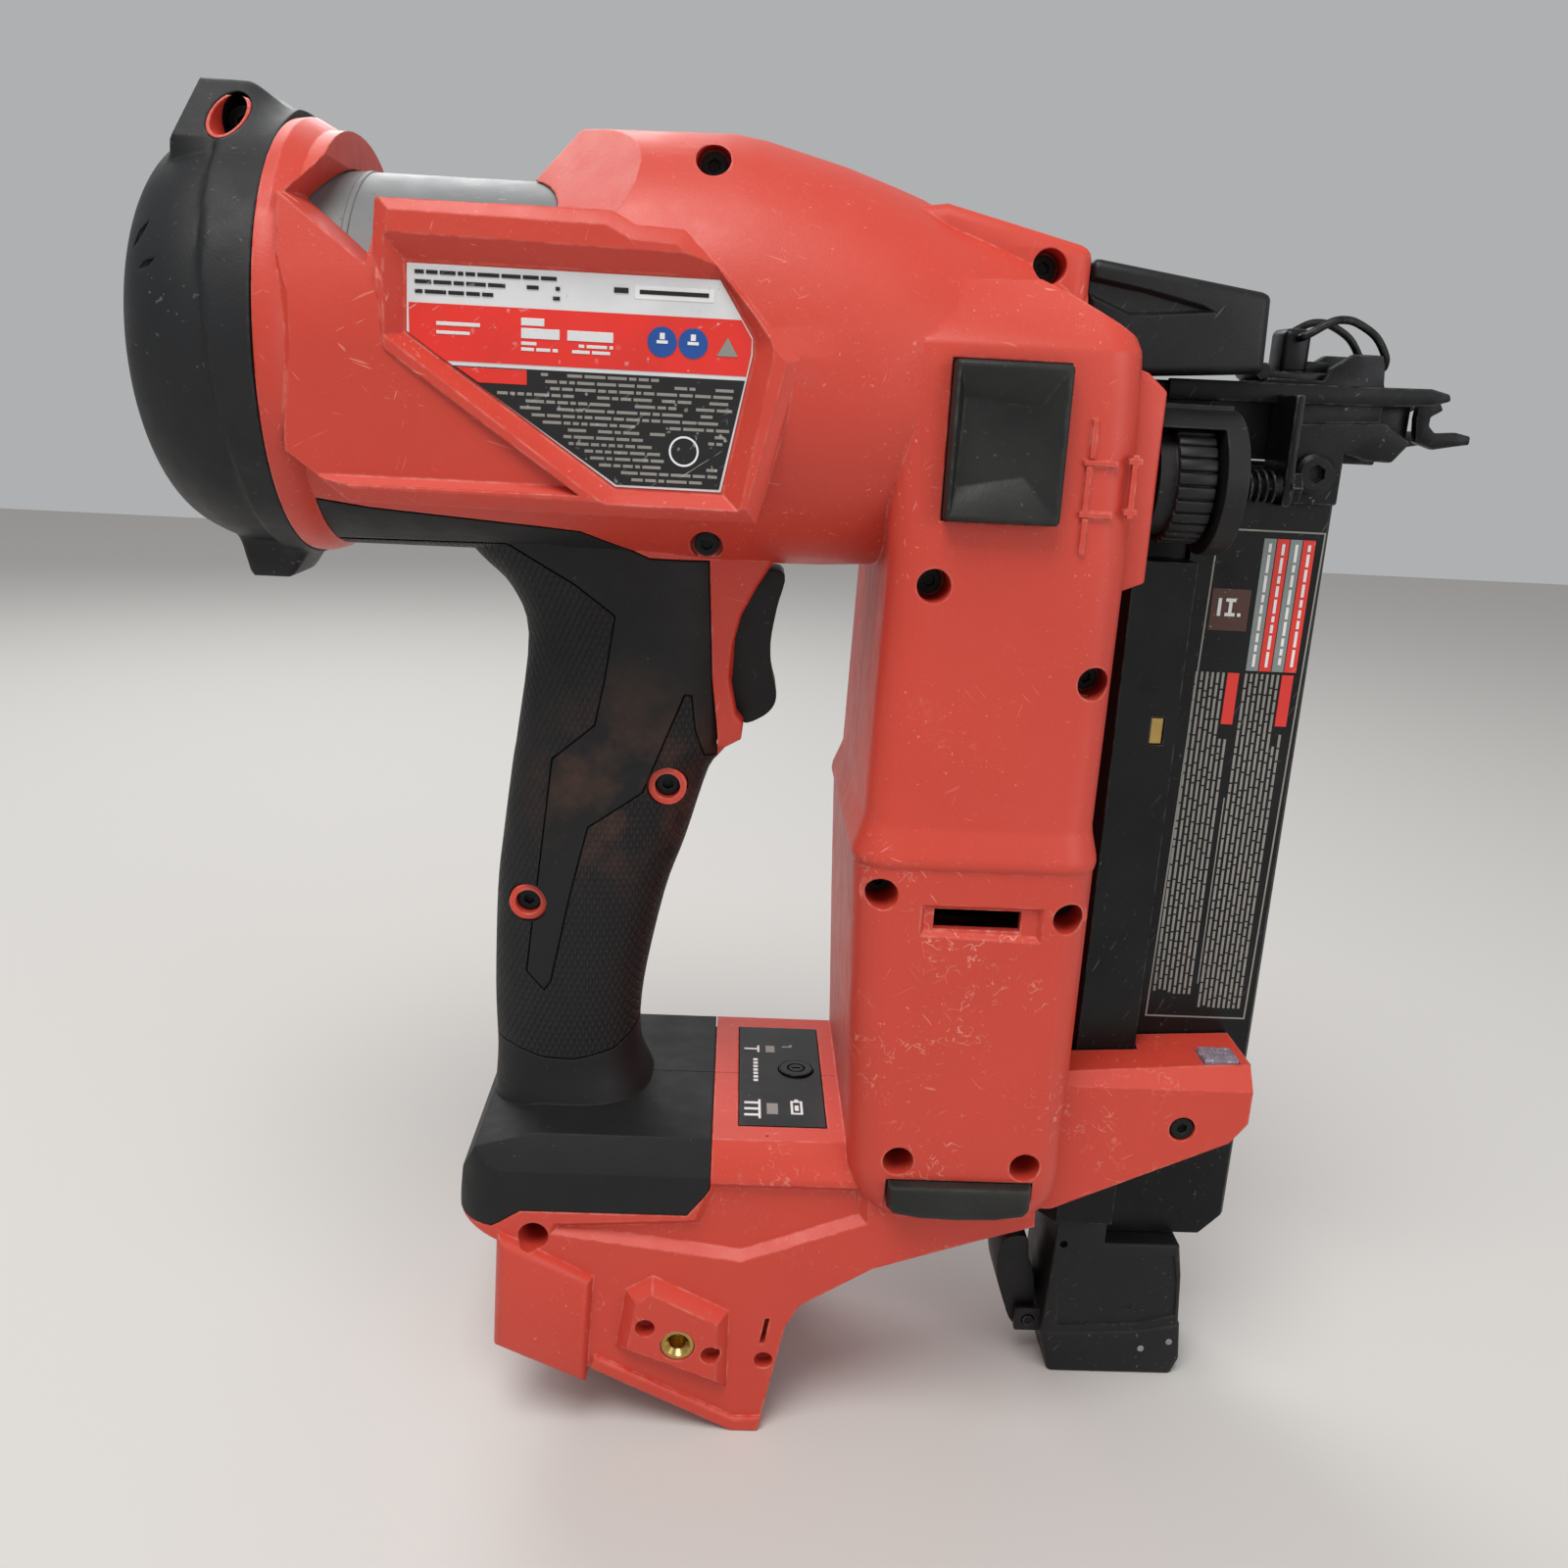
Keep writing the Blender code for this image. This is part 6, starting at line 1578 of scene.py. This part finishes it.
def pad_rubber():
    look = Look("pad_rubber_look", PAD, 0.50, 0.0, 0.35)
    look.cloud(60.0, (0.018, 0.020, 0.018), 0.8)
    look.speckle(800.0, 0.70, (0.10, 0.10, 0.095), 0.5)
    look.worn_edges(0.0012, (0.085, 0.085, 0.080), 0.7)
    look.grain(1400.0, 0.00005)
    return look.finish(0.0008)


def black_plastic():
    look = Look("black_plastic_look", BLACK, 0.45, 0.0, 0.32)
    look.cloud(40.0, (0.010, 0.010, 0.011), 0.8)
    look.speckle(700.0, 0.68, (0.12, 0.12, 0.12), 0.6)
    look.scratches(0.9, 60.0, 0.70, (0.10, 0.10, 0.10), 0.6)
    look.worn_edges(0.0008, BLACK_WORN, 0.55)
    look.grain(2400.0, 0.00004)
    return look.finish(0.0005)


def gloss_panel():
    look = Look("gloss_panel_look", (0.006, 0.006, 0.007), 0.22)
    look.cloud(90.0, (0.012, 0.012, 0.013), 0.8)
    look.speckle(1100.0, 0.70, (0.12, 0.12, 0.12), 0.5, 0.2)
    look.grain(3000.0, 0.000006)
    return look.finish(0.0003, 0.1)


def coated_metal(name, colour, roughness, worn, amount, metallic=0.6):
    """Black coating on metal that is worn bright at its edges."""
    look = Look(name, colour, roughness, metallic)
    look.cloud(50.0, tuple(c * 1.9 for c in colour), 0.8)
    look.speckle(800.0, 0.68, worn, 0.5, -0.1)
    look.scratches(1.1, 70.0, 0.69, worn, 0.6)
    look.worn_edges(0.0007, worn, amount)
    look.grain(1900.0, 0.000018)
    return look.finish(0.0004, 0.18)


def bright_metal(name, colour, roughness):
    look = Look(name, colour, roughness, 1.0)
    look.cloud(80.0, tuple(c * 0.6 for c in colour), 0.6)
    look.scratches(0.3, 90.0, 0.62, tuple(c * 0.5 for c in colour), 0.5)
    look.grain(2500.0, 0.000010)
    return look.finish(0.0003, 0.15)


def tank_grey():
    look = Look("tank_grey_look", TANK_GREY, 0.50, 0.10, 0.35)
    look.cloud(35.0, (0.125, 0.134, 0.138), 0.7)
    look.scratches(0.2, 60.0, 0.68, (0.34, 0.35, 0.36), 0.7)
    look.speckle(500.0, 0.70, (0.07, 0.07, 0.07), 0.7)
    look.grain(1500.0, 0.000012)
    return look.finish(0.0004)


def circuit_board():
    look = Look("circuit_board_look", BOARD, 0.35)
    look.cloud(200.0, (0.02, 0.13, 0.055), 0.8)
    look.grain(900.0, 0.00002)
    return look.finish(0.0002)


def clear_lens():
    look = Look("clear_lens_look", (0.72, 0.68, 0.80), 0.12)
    look.shader.inputs["Transmission Weight"].default_value = 0.8
    look.shader.inputs["IOR"].default_value = 1.5
    look.cloud(300.0, (0.55, 0.50, 0.62), 0.6)
    look.grain(1200.0, 0.00003)
    return look.finish(0.0003, 0.08)


def grip_lattice():
    """The overmould's textured panels: rows of small slanted cells."""
    look = Look("grip_lattice_look", RUBBER, 0.62, 0.0, 0.28)
    look.cloud(30.0, (0.012, 0.012, 0.013), 0.7)
    cells = None
    for lean in (0.42, -0.42):
        across = look.add("ShaderNodeVectorMath", {0: look.place, 1: (0.90, 0.0, lean)},
                          operation="DOT_PRODUCT").outputs["Value"]
        line = look.ramp(look.math("PINGPONG", across, 0.00068), 0.00008, 0.00030)
        cells = line if cells is None else look.math("MULTIPLY", cells, line)
    look.mix(look.math("MULTIPLY", cells, 0.6), (0.017, 0.017, 0.018))
    look.raise_by(look.math("MULTIPLY", cells, 0.00022))
    centre = look.add("ShaderNodeVectorMath", {0: look.place, 1: (-0.040, -0.017, 0.158)},
                      operation="DISTANCE").outputs["Value"]
    dust = look.ramp(look.noise(60.0, 5.0, 0.65), 0.45, 0.70, 0.0, 0.75)
    look.mix(look.math("MULTIPLY", dust, look.ramp(centre, 0.030, 0.008)), RUBBER_DUST)
    look.worn_edges(0.0006, (0.035, 0.035, 0.036), 0.4)
    return look.finish(0.0004)


def cap_plastic():
    look = Look("cap_plastic_look", (0.0072, 0.0078, 0.0090), 0.54, 0.0, 0.32)
    look.cloud(26.0, (0.014, 0.015, 0.017), 0.8)
    look.speckle(600.0, 0.68, (0.14, 0.14, 0.14), 0.5)
    look.scratches(0.9, 60.0, 0.70, (0.09, 0.09, 0.09), 0.6)
    look.worn_edges(0.0012, (0.06, 0.06, 0.06), 0.5)
    look.grain(2400.0, 0.00005)
    return look.finish(0.0010)


def printed(name, colour, roughness, metallic=0.0):
    """Printed film with fine scuffs."""
    look = Look(name, colour, roughness, metallic)
    look.cloud(70.0, tuple(c * 0.7 for c in colour), 0.5)
    look.speckle(500.0, 0.66, (0.55, 0.52, 0.50), 0.6, 0.2)
    look.scratches(0.6, 80.0, 0.70, (0.55, 0.52, 0.50), 0.5)
    look.grain(900.0, 0.000008)
    return look.finish(0.0001, 0.1)


def make_looks():
    return {
        "grip_lattice": grip_lattice(),
        "cap_plastic": cap_plastic(),
        "label_silver": printed("label_silver_look", (0.78, 0.79, 0.80), 0.34, 0.25),
        "label_red": printed("label_red_look", (0.74, 0.030, 0.020), 0.40),
        "label_black": printed("label_black_look", (0.008, 0.008, 0.009), 0.40),
        "label_print": printed("label_print_look", (0.26, 0.25, 0.23), 0.45),
        "label_white": printed("label_white_look", (0.80, 0.80, 0.80), 0.40),
        "label_blue": printed("label_blue_look", (0.010, 0.075, 0.32), 0.40),
        "label_grey": printed("label_grey_look", (0.22, 0.26, 0.25), 0.45),
        "label_brown": printed("label_brown_look", (0.075, 0.022, 0.014), 0.45),
        "red_plastic": red_plastic(),
        "grip_rubber": grip_rubber(),
        "bumper_rubber": pad_rubber(),
        "black_plastic": black_plastic(),
        "gloss_panel": gloss_panel(),
        "tank_grey": tank_grey(),
        "black_metal": coated_metal("black_metal_look", BLACK, 0.42, BLACK_WORN, 0.6),
        "black_alloy": coated_metal("black_alloy_look", BLACK, 0.38, (0.16, 0.16, 0.165), 0.5),
        "dark_steel": coated_metal("dark_steel_look", STEEL_DARK, 0.40, (0.24, 0.23, 0.22), 0.75,
                                   0.85),
        "bright_steel": bright_metal("bright_steel_look", STEEL_BRIGHT, 0.30),
        "cast_alloy": bright_metal("cast_alloy_look", ALLOY, 0.50),
        "motor_winding": bright_metal("motor_winding_look", COPPER, 0.40),
        "circuit_board": circuit_board(),
        "brass": bright_metal("brass_look", BRASS, 0.28),
        "clear_lens": clear_lens(),
        "lamp_chip": printed("lamp_chip_look", (0.80, 0.62, 0.22), 0.30),
    }


NODE_LOOKS = {"latch_pin": "dark_steel"}   # greasy and dark


def paint_nodes():
    """Give each CAD node the look of its material slot."""
    slots = {row["node"]: row["material_slot"] for row in frame["record"]["subparts"]}
    for name, node in frame["nodes"].items():
        node.data.materials.clear()
        node.data.materials.append(looks[NODE_LOOKS.get(name, slots[name])])


add_camera()
add_stage()
looks = make_looks()
paint_nodes()
for build in (build_housing, build_grips, build_rear_cap, build_bumpers, build_side_label,
              build_label_bars, build_label_signs, build_magazine_label, build_key_panel_marks,
              build_button_marks, build_nose_cover, build_depth_wheel, build_depth_guard,
              build_nose, build_nose_screw, build_jam_door, build_work_contact, build_tank,
              build_latch_wire, build_trigger, build_magazine_end, build_latch_lever, build_lamp,
              build_springs, build_hook_inserts):
    build()
